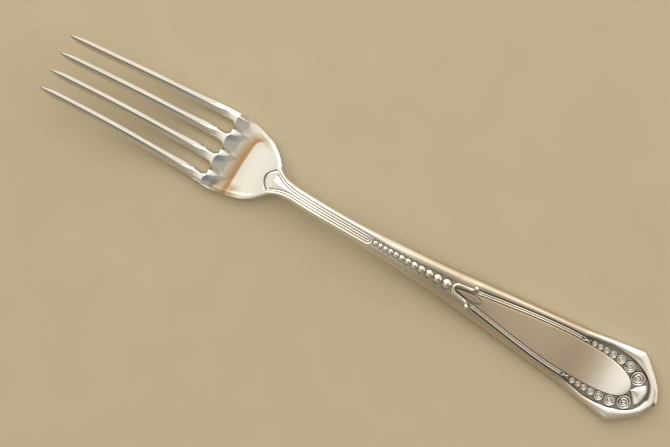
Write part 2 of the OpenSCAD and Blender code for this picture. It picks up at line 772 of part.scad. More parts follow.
// Side view of the shell from root to edge, as shares of its length and height
shell_shares = [[0.1, 0.45], [0.3, 0.72], [0.55, 0.95], [0.75, 1], [0.9, 0.8], [1, 0.35]];
function shell_ring(angle) =
    let (
        reach = shell_reach(angle, 0, rim_end_w + 2 * rosette_last_d, 24),
        dip = 0.16 * (1 - cos(360 * flutes * (angle / shell_angle + 1) / 2)) / 2,
        place = function (r, h)
            let (s = shell_s + r * reach * cos(angle)) at(s, r * reach * sin(angle), ground(s) + h)
    )
    concat(
        [place(shell_shares[0][0], 0)],
        [for (p = shell_shares) place(p[0], p[1] * shell_h * (1 - dip * p[0]))],
        [place(1, 0)]
    );
module tip_shell() {
    color(bright) loft([
        for (k = [0:shell_steps]) shell_ring(mix(shell_angle, -shell_angle, k / shell_steps))
    ]);
}

tine(0);  // tine_1
tine(1);  // tine_2
tine(2);  // tine_3
tine(3);  // tine_4
bowl();
reeded_stem();
handle();
bead_row();
husk_petals();
husk_leaf();
panel();
border_reeds(1);  // border_reeds_left
border_reeds(-1);  // border_reeds_right
ribbon_knots();
rosettes(1);  // rosettes_left
rosettes(-1);  // rosettes_right
tip_shell();
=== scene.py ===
import math

import bpy
import bmesh
import numpy as np
from mathutils import Matrix, Vector


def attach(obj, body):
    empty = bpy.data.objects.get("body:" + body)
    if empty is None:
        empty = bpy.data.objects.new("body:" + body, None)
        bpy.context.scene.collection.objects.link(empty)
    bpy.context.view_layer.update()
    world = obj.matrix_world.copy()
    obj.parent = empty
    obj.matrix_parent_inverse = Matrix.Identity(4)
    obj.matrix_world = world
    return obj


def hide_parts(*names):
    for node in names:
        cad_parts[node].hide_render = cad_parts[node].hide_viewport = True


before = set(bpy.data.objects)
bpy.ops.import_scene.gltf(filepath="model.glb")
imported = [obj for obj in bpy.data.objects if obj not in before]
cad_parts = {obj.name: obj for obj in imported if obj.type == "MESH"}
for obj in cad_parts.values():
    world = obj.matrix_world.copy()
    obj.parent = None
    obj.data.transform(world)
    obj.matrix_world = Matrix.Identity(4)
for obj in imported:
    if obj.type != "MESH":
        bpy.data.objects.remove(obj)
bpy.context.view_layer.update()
scene = bpy.context.scene
scene.view_settings.view_transform = "Standard"

# The photograph's view: a long lens, almost straight down on the table, turned so that the tines
# point to the upper left.
MM = 0.001
focal_px = 2800
image_width_px = 670
sensor_mm = 36
camera_gap = 773.8 * MM
camera_tilt = math.radians(9.5)
image_up_angle = math.radians(120.76)
looked_at = Vector((-7.03, -2.14, 0)) * MM

image_up = Vector((math.cos(image_up_angle), math.sin(image_up_angle), 0))
towards_camera = Vector((0, 0, math.cos(camera_tilt))) + image_up * math.sin(camera_tilt)
across_image = image_up.cross(towards_camera).normalized()
camera_data = bpy.data.cameras.new("shot")
camera_data.sensor_width = sensor_mm
camera_data.lens = focal_px / image_width_px * sensor_mm
camera_data.clip_start = 0.01
camera = bpy.data.objects.new("shot", camera_data)
scene.collection.objects.link(camera)
turn = Matrix((across_image, towards_camera.cross(across_image), towards_camera)).transposed()
camera.matrix_world = Matrix.Translation(looked_at + towards_camera * camera_gap) @ turn.to_4x4()
scene.camera = camera


# A table top in pale sand-coloured card, smooth and matt, which also shows in the polished metal.
# The fork lies on it by the flats under its bowl and its handle.
def hex_colour(text):
    """An sRGB hex value as linear colour."""
    parts = [int(text[i:i + 2], 16) / 255 for i in (1, 3, 5)]
    return [p / 12.92 if p < 0.04045 else ((p + 0.055) / 1.055) ** 2.4 for p in parts] + [1]


def feed(tree, node, links):
    """Sets a node's inputs, each from a node, a socket, a hex colour or a plain value."""
    for key, value in links.items():
        if isinstance(value, bpy.types.Node):
            value = next(socket for socket in value.outputs if socket.enabled)
        if isinstance(value, bpy.types.NodeSocket):
            tree.links.new(value, node.inputs[key])
        elif isinstance(value, str) and value.startswith("#"):
            node.inputs[key].default_value = hex_colour(value)
        else:
            node.inputs[key].default_value = value
    return node


def add(tree, kind, links=None, **settings):
    """Adds a node, with its inputs as feed takes them and its settings by name."""
    node = tree.nodes.new(kind)
    for key, value in settings.items():
        setattr(node, key, value)
    return feed(tree, node, links or {})


def blend(tree, share, first, second):
    """A colour between two, each a hex value or a node."""
    return add(tree, "ShaderNodeMix", {"Factor": share, "A": first, "B": second}, data_type="RGBA")


def mottled(tree, place, scale, detail, first, second):
    """Two colours in soft, uneven patches."""
    patches = add(tree, "ShaderNodeTexNoise", {"Vector": place, "Scale": scale, "Detail": detail})
    return blend(tree, patches, first, second)


def material(name):
    """A new material, its node tree and the socket with the piece's own coordinates."""
    made = bpy.data.materials.new(name)
    made.use_nodes = True
    return made, made.node_tree, add(made.node_tree, "ShaderNodeTexCoord").outputs["Object"]


table_half = 900 * MM
table_gap = 0.02 * MM
card, tree, place = material("matt_card")
feed(tree, tree.nodes["Principled BSDF"], {
    "Base Color": mottled(tree, place, 60, 4, "#BFB297", "#C7BAA0"), "Roughness": 0.8})
table_mesh = bpy.data.meshes.new("table_top")
table_mesh.from_pydata(
    [(x * table_half, y * table_half, -table_gap) for x, y in ((-1, -1), (1, -1), (1, 1), (-1, 1))], [],
    [(0, 1, 2, 3)])
table_mesh.materials.append(card)
table_top = bpy.data.objects.new("table_top", table_mesh)
scene.collection.objects.link(table_top)


# Daylight from one side of a plain room: a wide window beyond the top of the picture, pale walls
# on that side, and a dimmer ceiling and wall on the other, as polished silver shows them.
def maths(tree, operation, *values):
    return add(tree, "ShaderNodeMath", dict(enumerate(values)), operation=operation)


def ranged(tree, value, span, to=(0.0, 1.0), kind="LINEAR"):
    """A value's place in a span, held inside it, as a number between two others."""
    return add(tree, "ShaderNodeMapRange", {
        "Value": value, "From Min": span[0], "From Max": span[1], "To Min": to[0], "To Max": to[1]},
        interpolation_type=kind)


window_side = Vector((-0.6, 0.8, 0)).normalized()
room = bpy.data.worlds.new("room")
scene.world = room
room.use_nodes = True
tree = room.node_tree
east, north, up = add(tree, "ShaderNodeSeparateXYZ", {
    0: add(tree, "ShaderNodeTexCoord").outputs["Generated"]}).outputs
# The ceiling darkens as far as the middle of the room and grows lighter again behind it
room_middle, fold_share = -0.22, -0.45
ahead = maths(tree, "SUBTRACT", north, room_middle)
front = maths(tree, "ADD", maths(tree, "MAXIMUM", ahead, maths(tree, "MULTIPLY", ahead, fold_share)), room_middle)
level = add(tree, "ShaderNodeCombineXYZ", {"X": east, "Y": front})
overhead = add(tree, "ShaderNodeVectorMath", {0: level, 1: window_side}, operation="DOT_PRODUCT")
ceiling_share = ranged(tree, up, (0.6, 0.9), kind="SMOOTHSTEP")
ceiling_tones = [
    (-1.0, "#B9B0A2"), (-0.8, "#A9A296"), (-0.62, "#A29B90"), (-0.55, "#86847E"), (-0.47, "#616A70"),
    (-0.4, "#78828A"), (-0.34, "#979C9C"), (-0.29, "#B4AFA6"), (-0.22, "#B5AEA4"), (-0.165, "#B8AFA5"),
    (-0.12, "#C7BFB3"), (-0.075, "#DAD3C6"), (-0.03, "#EBE5D8"), (0.02, "#F5F0E3"), (0.1, "#FCF8EC"),
    (1.0, "#FFFEFA"),
]
wall_tones = [
    (-1.0, "#ADA086"), (-0.6, "#A0937A"), (-0.35, "#8A7F6B"), (-0.2, "#746C60"), (-0.1, "#817A6D"),
    (-0.03, "#B5AA98"), (0.04, "#EFE6D4"), (0.15, "#F9F4E7"), (0.5, "#F7F0E2"), (1.0, "#FAF5EA"),
]
shades = []
for source, tones in ((overhead, ceiling_tones), (north, wall_tones)):
    shade = add(tree, "ShaderNodeValToRGB", {"Fac": ranged(tree, source, (-1.0, 1.0))})
    stops = shade.color_ramp.elements
    while len(stops) < len(tones):
        stops.new(0.5)
    for stop, (side, colour) in zip(stops, tones):
        stop.position = (side + 1) / 2
        stop.color = hex_colour(colour)
    shades.append(shade)
feed(tree, tree.nodes["Background"], {"Color": blend(tree, ceiling_share, shades[1], shades[0]), "Strength": 1.0})

window_data = bpy.data.lights.new("window", "AREA")
window_data.shape = "RECTANGLE"
window_data.size, window_data.size_y = 1800 * MM, 1300 * MM
window_data.energy = 8
window_data.color = hex_colour("#FFF8EC")[:3]
window = bpy.data.objects.new("window", window_data)
window_gap_mm = 1200
window_way = (window_side + Vector((0, 0, 1.0))).normalized()
facing = window_way.to_track_quat("Z", "Y").to_matrix().to_4x4()
window.matrix_world = Matrix.Translation(window_way * window_gap_mm * MM) @ facing
scene.collection.objects.link(window)

# Four tines, parted from the blank by slots and filed to a low ridge with two bevels each. They
# are silver plate on nickel silver, polished, and each is a solid from its point to its root.
fork_length = 190.5
tip_rise = 18.5
slot_end = 50.6
tip_span, tine_root_width, tine_tip_width = 16.1, 2.9, 2.2
tine_root_thickness, tine_tip_thickness = 2.3, 1.4
point_length, point_width = 5.5, 0.4
ridge_width, root_flat_width, root_facet_length = 0.4, 1.9, 5.2
head_width, shoulder_length, bowl_thickness, bowl_dish = 22.4, 22.6, 2.3, 0.5
belly_length, arch_rise, end_lift = 3.6, 5.2, 2.0
stem_width, stem_thickness = 5.0, 3.6
rest_length, rest_gap = 14.0, 18.5
reed_end = 0.518 * fork_length
flower_thickness, handle_thickness, end_thickness, ground_depth = 3.2, 2.9, 2.4, 0.5


def mix(a, b, t):
    return a + (b - a) * t


def held(t):
    return min(max(t, 0), 1)


def ease(t):
    t = held(t)
    return t * t * (3 - 2 * t)


def eased(x, start, length):
    """Grows smoothly from 0 at a start to 1 a length further on."""
    return ease((x - start) / length)


def sine(degrees):
    return math.sin(math.radians(degrees))


def cosine(degrees):
    return math.cos(math.radians(degrees))


def spline(points):
    """A smooth curve through (x, y) pairs: a function of x, straight in its curvature between them."""
    x, y = np.array(points, float).T
    gap = np.diff(x)
    n = len(x)
    lines, ends = np.eye(n), np.zeros(n)
    for i in range(1, n - 1):
        lines[i, i - 1:i + 2] = gap[i - 1], 2 * (gap[i - 1] + gap[i]), gap[i]
        ends[i] = 6 * ((y[i + 1] - y[i]) / gap[i] - (y[i] - y[i - 1]) / gap[i - 1])
    bend = np.linalg.solve(lines, ends).tolist()
    x, y, gap = x.tolist(), y.tolist(), gap.tolist()

    def height(q):
        i = 0
        while i < n - 2 and q > x[i + 1]:
            i += 1
        t = (q - x[i]) / gap[i]
        a, b = 1 - t, t
        return a * y[i] + b * y[i + 1] + ((a ** 3 - a) * bend[i] + (b ** 3 - b) * bend[i + 1]) * gap[i] ** 2 / 6
    return height


def span_curve(from_y, to_y, from_slope, to_slope, span, t):
    """Smooth height at share t of a span whose ends have given heights and slopes."""
    return (from_y * (2 * t ** 3 - 3 * t * t + 1) + from_slope * span * (t ** 3 - 2 * t * t + t)
            + to_y * (3 * t * t - 2 * t ** 3) + to_slope * span * (t ** 3 - t * t))


def table_curve(rows, x):
    """A smooth curve through a table of pairs that stays level where the table does."""
    i = 0
    while i < len(rows) - 2 and x >= rows[i + 1][0]:
        i += 1

    def slope(k):
        a, b = rows[max(k - 1, 0)], rows[min(k + 1, len(rows) - 1)]
        return (b[1] - a[1]) / (b[0] - a[0])
    span = rows[i + 1][0] - rows[i][0]
    return span_curve(rows[i][1], rows[i + 1][1], slope(i), slope(i + 1), span, held((x - rows[i][0]) / span))


belly_end = slot_end + belly_length
rest_end = fork_length - rest_gap
rest_start = rest_end - rest_length
arch_top = mix(belly_end, rest_start, 0.29)
tip_under = tip_rise - point_width / 2 - tine_tip_thickness / 2
tine_curl = 1.6


def struck_underside(s):
    """Height of the fork's back over the table, s from the tine points."""
    if s < slot_end:
        return tip_under * (1 - s / slot_end) ** tine_curl
    if s < belly_end:
        return 0
    if s < arch_top:
        return arch_rise * eased(s, belly_end, arch_top - belly_end)
    if s < rest_start:
        return arch_rise * (1 - eased(s, arch_top, rest_start - arch_top))
    return 0 if s < rest_end else end_lift * ((s - rest_end) / rest_gap) ** 2


def tine_thickness(s):
    return mix(tine_tip_thickness, tine_root_thickness, s / slot_end)


stem_start = slot_end + shoulder_length


def body_thickness(s):
    return mix(bowl_thickness, stem_thickness, eased(s, mix(slot_end, stem_start, 0.3), shoulder_length))


under_knots = [0, 5, 12, 20, 28, 36, 42, 46.5, 50.6, 52.4, 54.2, 58, 62, 67, 72, 78, 84.3, 92, 100, 110, 120, 130,
               140, 150, 158, 165, 172, 178, 184, 190.5]
underside = spline([(s, struck_underside(s)) for s in under_knots])

root_pitch = (head_width - tine_root_width) / 3
slot_round = (root_pitch - tine_root_width) / 2
slot_round_start = slot_end - slot_round
shoulder_shares = [
    (0, 1), (0.1, 1), (0.18, 0.985), (0.28, 0.935), (0.4, 0.85), (0.52, 0.73), (0.64, 0.515), (0.7, 0.355),
    (0.76, 0.19), (0.82, 0.085), (0.88, 0.03), (1, 0)]
neck = mix(slot_end, stem_start, 0.73)


def head_half(s):
    return mix(stem_width / 2, head_width / 2, table_curve(shoulder_shares, (s - slot_end) / shoulder_length))


flank_start, flank_run, dish_full = 52.5, 6, 58.5


def dish(s, y):
    """Rise of the bowl's and the outer tines' edges over the middle."""
    half = head_width / 2 if s < slot_end else head_half(s)
    into = eased(s, flank_start, flank_run)
    flat_part = mix(0.88, 0.5, into)
    out = held((abs(y) / half - flat_part) / (1 - flat_part))
    sides = 0.45 * out ** 1.25 + 0.55 * held((out - 0.45) / 0.55) ** 2.2
    return bowl_dish * mix(out ** 2.3, sides, into) * (1 - eased(s, dish_full, neck - dish_full))


def tine_pitch(s):
    return mix(tip_span / 3, root_pitch, (s / slot_end) ** 1.35)


def pointed(s):
    return 1 - (1 - held(s / point_length)) ** 2


def tine_half(s):
    return mix(point_width, mix(tine_tip_width, tine_root_width, s / slot_end), pointed(s)) / 2


def slot_half(s):
    if s < slot_round_start:
        return tine_pitch(s) / 2 - tine_half(s)
    widest = tine_pitch(slot_round_start) / 2 - tine_half(slot_round_start)
    return widest * math.sqrt(held(1 - ((s - slot_round_start) / slot_round) ** 2))


vee_half = 1.75
root_spread = root_pitch / 2 - vee_half - root_flat_width / 2


def ridge_half(s):
    """Half width of a tine's flat face: a ridge that opens out at the root."""
    narrow = mix(point_width / 4, ridge_width / 2, pointed(s))
    face = mix(narrow, root_flat_width / 2, eased(s, slot_round_start - root_facet_length, root_facet_length))
    return face + root_spread * (1 - math.sqrt(1 - held((s - slot_round_start) / slot_round) ** 2))


bevel_narrow, bevel_wide, bevel_from, bevel_run = 0.45, 1.2, 42, 8


def outer_bevel(s):
    """Width of the bevel along an outer tine's outer edge."""
    return mix(bevel_narrow, bevel_wide, eased(s, bevel_from, bevel_run))


root_swell, root_rise, root_fall = 0.56, 4.4, 3.9
crest_place, crest_sweep = 50.1, 1.7


def root_form(s, y):
    """Swell of a tine's root: it rises to a curved crest, then falls in a round scoop to the bowl."""
    tine = min(max(round(y / root_pitch + 1.5), 0), 3)
    aside = (y - (tine - 1.5) * tine_pitch(min(s, slot_end))) / (root_pitch / 2)
    past_crest = s - crest_place - crest_sweep * min(aside * aside, 1)
    return root_swell * held(1 + past_crest / root_rise) ** 1.8 * held(1 - past_crest / root_fall) ** 1.2


# How the struck body thickens behind the head, where the handle's ornament gives its face
bead_first, bead_last, bead_number, chase_gap = 1.55, 3.05, 12, 0.12
flower_length = 10.6
bead_start = reed_end + 3 * chase_gap
bead_widths = [mix(bead_first, bead_last, (k / (bead_number - 1)) ** 2) for k in range(bead_number)]
flower_start = bead_start + sum(width + chase_gap / 4 for width in bead_widths) + chase_gap
flower_end = flower_start + flower_length
panel_width, rosette_first, rosette_last, rim_end_width = 10.2, 1.7, 4.3, 2.75
panel_end = fork_length - rim_end_width - 1.36 * rosette_last
panel_arch_length = 1.52 * panel_width
panel_arch_start = panel_end - panel_arch_length
knot_length = 2.8
knot_place = panel_arch_start - knot_length / 2 - chase_gap
curve_end = knot_place - knot_length / 2 - chase_gap
bead_ground = struck_underside(reed_end) + body_thickness(reed_end) - ground_depth
flower_ground = struck_underside(flower_end) + flower_thickness - ground_depth
knot_ground = struck_underside(knot_place) + handle_thickness - ground_depth
end_ground = end_lift + end_thickness - ground_depth
bead_run = (flower_ground - bead_ground) / (flower_end - reed_end)
end_curl = 4.0
end_span = fork_length - curve_end
end_run = (end_ground - knot_ground - end_curl) / end_span


def ground(s):
    """Height of the sunk ground under the handle's ornament."""
    if s < flower_end:
        return bead_ground + bead_run * (s - reed_end)
    if s > curve_end:
        return knot_ground + end_run * (s - curve_end) + end_curl * ((s - curve_end) / end_span) ** 2
    span = curve_end - flower_end
    return span_curve(flower_ground, knot_ground, bead_run, end_run, span, (s - flower_end) / span)


def struck_face(s):
    if s < slot_end:
        return struck_underside(s) + tine_thickness(s)
    return struck_underside(s) + body_thickness(s) if s < reed_end else ground(s) + ground_depth


face_knots = [0, 6, 13, 20, 27, 34, 40, 45, 50, 54.6, 57, 60, 64, 68, 72.5, 78, 84, 90, 96, 103, 111, 119, 127, 135,
              143, 151, 159, 167, 176, 184, 190.5]
face_line = spline([(s, struck_face(s)) for s in face_knots])


def solid(name, rings, finish, crease=38, far_cap=True):
    """Closed solid through rings of (s, y, z) in millimetres, smooth but for edges sharper than crease.

    What follows z in a ring's points is how strong the patina and painted shade, and the painted warm tone, are
    there."""
    rows = np.array(rings, float)
    count, around = rows.shape[:2]
    rows = rows.reshape(count * around, -1)
    rows[:, 0] -= fork_length / 2
    faces = [
        (k * around + i, k * around + (i + 1) % around, (k + 1) * around + (i + 1) % around, (k + 1) * around + i)
        for k in range(count - 1) for i in range(around)]
    faces += [tuple(range(around - 1, -1, -1))]
    if far_cap:
        faces += [tuple((count - 1) * around + i for i in range(around))]
    mesh = bpy.data.meshes.new(name)
    mesh.from_pydata((rows[:, :3] * MM).tolist(), [], faces)
    for stain, shares in zip(("patina", "painted_warmth"), rows[:, 3:].T.tolist()):
        mesh.attributes.new(stain, "FLOAT", "POINT").data.foreach_set("value", shares)
    shape = bmesh.new()
    shape.from_mesh(mesh)
    bmesh.ops.remove_doubles(shape, verts=shape.verts, dist=0.0005 * MM)
    if shape.calc_volume(signed=True) < 0:
        bmesh.ops.reverse_faces(shape, faces=shape.faces)
    shape.to_mesh(mesh)
    shape.free()
    mesh.polygons.foreach_set("use_smooth", [True] * len(mesh.polygons))
    mesh.set_sharp_from_angle(angle=math.radians(crease))
    mesh.materials.append(finish)
    piece = bpy.data.objects.new(name, mesh)
    scene.collection.objects.link(piece)
    return piece


# Polished silver plate: a warm white metal, with a warm film of tarnish where hands and polish
# leave it, wiping marks along the fork, and dark patina where polish can't reach. The same dark
# tone also paints shade, and a warm tone paints the bowl's reflected band and shaded low edge.
def strokes(tree, place, scale, detail, roughness):
    """Fine marks drawn out along the fork."""
    stretched = add(tree, "ShaderNodeMapping", {"Vector": place, "Scale": scale})
    return add(tree, "ShaderNodeTexNoise", {
        "Vector": stretched, "Scale": 1, "Detail": detail, "Roughness": roughness})


def finish_metal(tree, tone, roughness, marks):
    """Sets a metal's colour, its roughness and the faint relief of its marks."""
    feed(tree, tree.nodes["Principled BSDF"], {
        "Base Color": tone, "Metallic": 1, "Roughness": roughness,
        "Normal": add(tree, "ShaderNodeBump", {"Height": marks, "Strength": 0.05, "Distance": 0.02 * MM})})


patina_and_shade_tone = "#3C342C"
plate, tree, place = material("polished_silver_plate")
clean_tone = mottled(tree, place, 90, 3, "#F7F4EE", "#EEEAE0")
along = add(tree, "ShaderNodeSeparateXYZ", {0: place}).outputs["X"]
gripped = ranged(tree, along, (-30 * MM, 20 * MM), kind="SMOOTHSTEP")
aged = ranged(tree, along, (-5 * MM, 28 * MM), kind="SMOOTHSTEP")
rubbing_and_highlight = ranged(tree, along, (66 * MM, 80 * MM), (1.0, 0.0), "SMOOTHSTEP")
aged_tone = blend(tree, maths(tree, "MULTIPLY", aged, rubbing_and_highlight), clean_tone, "#DBCFBA")
aged_tone.name = "aged tone"
# The warm tone here is the bowl's painted reflection and painted shade; the dark one is patina and painted shade.
warm = add(tree, "ShaderNodeAttribute", attribute_name="painted_warmth").outputs["Fac"]
dark = add(tree, "ShaderNodeAttribute", attribute_name="patina").outputs["Fac"]
warm_tone = blend(tree, warm, aged_tone, "#C69F70")
wiping = strokes(tree, place, (60, 2600, 2600), 5, 0.7)
wiped = ranged(tree, wiping, (0.35, 0.75), (0.04, 0.13))
handled_roughness = 0.19
worn = maths(tree, "MULTIPLY_ADD", maths(tree, "MULTIPLY", gripped, rubbing_and_highlight), handled_roughness, wiped)
worn.name = "wear"
roughness = add(tree, "ShaderNodeMix", {"Factor": dark, "A": worn, "B": 0.5})
finish_metal(tree, blend(tree, dark, warm_tone, patina_and_shade_tone), roughness, wiping)

bevel_part, bevel_bend, bevel_round = 0.3, 1.3, 0.16
root_bevel = bevel_part * tine_root_thickness
side_draft, back_rise_share, back_flat_share = 0.02, 0.3, 0.55
slim_share, slim_end, slim_run = 0.87, 34, 11
dish_from = 38


def tine_ring(i, s):
    """Section of tine i: flat face, two bevels, sides and a rounded back."""
    middle = (i - 1.5) * tine_pitch(s)
    beside = tine_pitch(s) / 2 - slot_half(s)
    full = tine_thickness(s)
    thick = mix(point_width, full, pointed(s))
    high = face_line(s) - (full - thick) / 2
    low = underside(s) + (full - thick) / 2
    drop = bevel_part * thick

    def side(reach, outermost):
        flat = min(ridge_half(s), reach - outer_bevel(s) * pointed(s)) if outermost else ridge_half(s)
        points = [(flat * k / 8, high) for k in range(9)]
        points += [(mix(flat, reach, k / 8), high - drop * (k / 8) ** bevel_bend) for k in range(1, 8)]
        r = min(bevel_round, 0.3 * drop)
        points += [(reach - 0.6 * r, high - drop * 0.97), (reach - 0.15 * r, high - drop - 0.25 * r),
                   (reach, high - drop - r)]
        lift = back_rise_share * thick
        points += [(reach * (1 - side_draft * t), mix(high - drop - r, low + lift, t)) for t in (0.5, 1)]
        for k in range(1, 7):
            width = reach * mix(1 - side_draft, back_flat_share, 1 - cosine(15 * k))
            points.append((width, low + lift * (1 - sine(15 * k))))
        return points
    # Each tine is worn slimmer on the side towards the window, but for its root
    slim = mix(slim_share, 1, eased(s, slim_end, slim_run))
    plus = side(tine_half(s) * slim, True) if i == 3 else side(beside * slim, False)
    minus = side(tine_half(s), True) if i == 0 else side(beside, False)
    root = eased(s, dish_from, slot_end - dish_from)
    ring = []
    for y, z in plus + [(-y, z) for y, z in minus[:0:-1]]:
        swell = root_form(s, middle + y) if z > low + full / 2 else 0
        ring.append((s, middle + y, z + mix(dish(s, middle), dish(s, middle + y), root) + swell))
    return ring


tine_stations = [point_length * (k / 16) ** 2 for k in range(16)]
tine_stations += np.linspace(point_length, slot_round_start, 110).tolist()
tine_stations += [slot_round_start + slot_round * sine(5 * k) for k in range(1, 19)]
for i in range(4):
    tine = solid(f"tine_{i + 1}_plate", [tine_ring(i, s) for s in tine_stations], plate)
    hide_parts(f"tine_{i + 1}")
    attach(tine, "root")

# The bowl: a shallow dish, struck in one with the tines. Each slot leaves a vee in its face, the
# shoulders have a soft bevel, and a fine arc is cut across the neck. A warm band across its front
# is a painted reflection, and the side of each vee away from the window and the low edge beside
# the lowest root are darkened as painted shade.
vee_length, vee_foot = 3.5, 0.2
slots_reach = 1.5 * root_pitch
rim_width = 0.4 * tine_root_width
rim_drop = 0.16 * bowl_thickness
arc_depth, arc_half, arc_sweep, arc_line_half = 0.25, 0.64 * stem_width, 0.4 * stem_width, 0.16
arc_place = neck - 0.35
vee_dark, vee_dark_half, vee_side_shade, vee_haze = 0.7, 0.14, 0.4, 0.08
bowl_dark, low_side_shade, low_side_warm_shade, upper_edge_reflection = 0.8, 0.22, 0.6, 0.45
low_start, low_end, low_width = 52, 58, 2
band_front, band_back, band_growth = 54.3, 57.5, 2.5
front_sweep, front_reach, back_slope, back_turn, back_sweep = 1.9, 8.7, 0.07, 6, 0.55
bowl_back_power = 14


def bump(x, half_width):
    """A round bump, 1 at 0, that fades out over a few half widths."""
    return math.exp(-(x / half_width) ** 2)


def bevel(p):
    return held(p) ** bevel_bend


def past_slot(y):
    """How far a spot lies past the middle line of its slot, counted across the fork."""
    return (y / root_pitch + 0.5) % 1 * root_pitch - root_pitch / 2


def vee_drop(s, y):
    if abs(y) >= slots_reach:
        return 0
    t = held((s - slot_end) / vee_length)
    open_half = mix(vee_half, vee_foot, t ** 1.5)
    return root_bevel * (1 - t) ** 1.2 * bevel(1 - abs(past_slot(y)) / open_half)


def arc_cut(s, y):
    """Depth of the arc line at a spot, as a share of its full depth."""
    if abs(y) >= arc_half:
        return 0
    slant = math.hypot(1, 2 * arc_sweep * y / arc_half ** 2)
    return bump(s - arc_place + arc_sweep * (1 - (y / arc_half) ** 2), arc_line_half * slant)


def bowl_face(s, y):
    t = held((s - slot_end) / vee_length)
    wide = mix(outer_bevel(slot_end), rim_width, t)
    edge = mix(root_bevel, rim_drop, t) * bevel((abs(y) - head_half(s) + wide) / wide)
    return face_line(s) + dish(s, y) + root_form(s, y) - vee_drop(s, y) - edge - arc_depth * arc_cut(s, y)


def shaded_low_side(s, y):
    """How far a spot lies on the bowl's edge beside the lowest root, which is painted darker and warmer as shade."""
    if y >= 0:
        return 0
    inset = head_half(s) - abs(y)
    return (1 - eased(inset, low_width, 2.6)) * eased(s, low_start, 1.5) * (1 - eased(s, low_end, 4))


def bowl_patina_and_shade(s, y):
    """Patina in the arc and the vees, and painted shade on each vee's side away from the window and on the low edge.
    """
    past = past_slot(y)
    # The side of each vee that faces away from the window is darkened: painted shade.
    shaded_side = vee_side_shade * eased(past, 0.05, 0.2) * (1 - eased(past, 0.7, 0.6))
    in_vee = vee_dark * bump(past, vee_dark_half) + shaded_side + vee_haze * (abs(past) < 1.3)
    in_vee *= 1 - held((s - slot_end) / vee_length)
    return max(arc_cut(s, y), in_vee if abs(y) < slots_reach else 0, low_side_shade * shaded_low_side(s, y))


def bowl_painted_warmth(s, y):
    """Painted warm reflection across the bowl's front, turning along both edges; warm painted shade on the low edge.
    """
    up = max(y, 0)
    front = band_front + front_sweep * (up / front_reach) ** 3
    back = band_back + back_slope * up + back_sweep * max(up - back_turn, 0) ** 1.6
    band = held((s - front) / band_growth) * (1 - eased(s, back, 0.3))
    if y <= 0:
        return max(band, low_side_warm_shade * shaded_low_side(s, y))
    inset = head_half(s) - y
    band *= eased(inset, 0.6, 0.8) * (1 - 0.4 * eased(up, 7, 2))
    along_edge = eased(inset, 0.9, 0.4) * (1 - eased(inset, 1.9, 1.2))
    return max(band, upper_edge_reflection * along_edge * eased(s, back - 0.6, 0.8) * (1 - eased(s, 60, 3)))


bowl_across = 96
bowl_rings = []
for s in np.concatenate([np.linspace(slot_end, 55, 34), np.linspace(55.2, 63.8, 44), np.linspace(63.9, neck, 44)]):
    half = head_half(s)
    face = [(half * k / bowl_across, bowl_face(s, half * k / bowl_across)) for k in range(bowl_across + 1)]
    foot = underside(s) + root_bevel + dish(s, half)
    back = [(half * (1 - 0.01 * t), mix(face[-1][1], foot, t)) for t in (0.35, 0.7, 1)]
    for k in range(1, 25):
        y = half * (0.99 - 0.99 * (k / 25) ** 1.5)
        back.append((y, underside(s) + dish(s, y) + root_bevel * (y / half) ** bowl_back_power))
    halves = [
        [(s, side * y, z, bowl_dark * bowl_patina_and_shade(s, side * y), bowl_painted_warmth(s, side * y)) for y, z in face]
        + [(s, side * y, z, 0, 0) for y, z in back] for side in (1, -1)]
    bowl_rings.append(halves[0] + halves[1][:0:-1])
bowl = solid("bowl_plate", bowl_rings, plate)
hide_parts("bowl")
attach(bowl, "root")

# The stem: rounded flanks, and reeds struck along its face with dark lines between them. The
# lines part towards the bowl to leave a plain wedge, and turn back in round ends at the beads.
reed_width, reed_depth, reed_round, reed_dark = 2.1, 0.15, 2.5, 0.6
flank_bend = 1.9
outer_reed = reed_width / 2
inner_reed = 0.33 * outer_reed
crest_offset = 0.33 * outer_reed
spread_length = 0.42 * shoulder_length
spread_shares = [(0, 1), (0.15, 0.62), (0.32, 0.3), (0.5, 0.11), (0.7, 0.02), (1, 0)]
stem_fall_share, stem_back_share, stem_back_power = 0.42, 0.3, 4.5
tip_length, handle_width = 9.7, 21.9
corner = fork_length - tip_length
handle_shares = [
    (0, 0), (0.1, 0), (0.2, 0.02), (0.33, 0.115), (0.46, 0.235), (0.59, 0.405), (0.725, 0.587), (0.855, 0.75),
    (0.94, 0.895), (1, 1)]
turn_centre = reed_end - outer_reed - 0.3


def mirrored(half_ring):
    """A ring from its half, which runs from the middle line round to it again."""
    return half_ring + [(s, -y, *rest) for s, y, *rest in half_ring[:0:-1]]


def handle_half(s):
    return mix(stem_width / 2, handle_width / 2, table_curve(handle_shares, (s - stem_start) / (corner - stem_start)))


def reed_valley(q, from_q, to_q):
    """Depth share between two valleys of the reeding, round on top."""
    return abs(2 * (q - from_q) / (to_q - from_q) - 1) ** reed_round


def flank(q, bend=flank_bend):
    """Fall of a rounded flank from its crest, 0, to its edge, 1."""
    return 1 - (1 - held(q) ** bend) ** (1 / flank_bend)


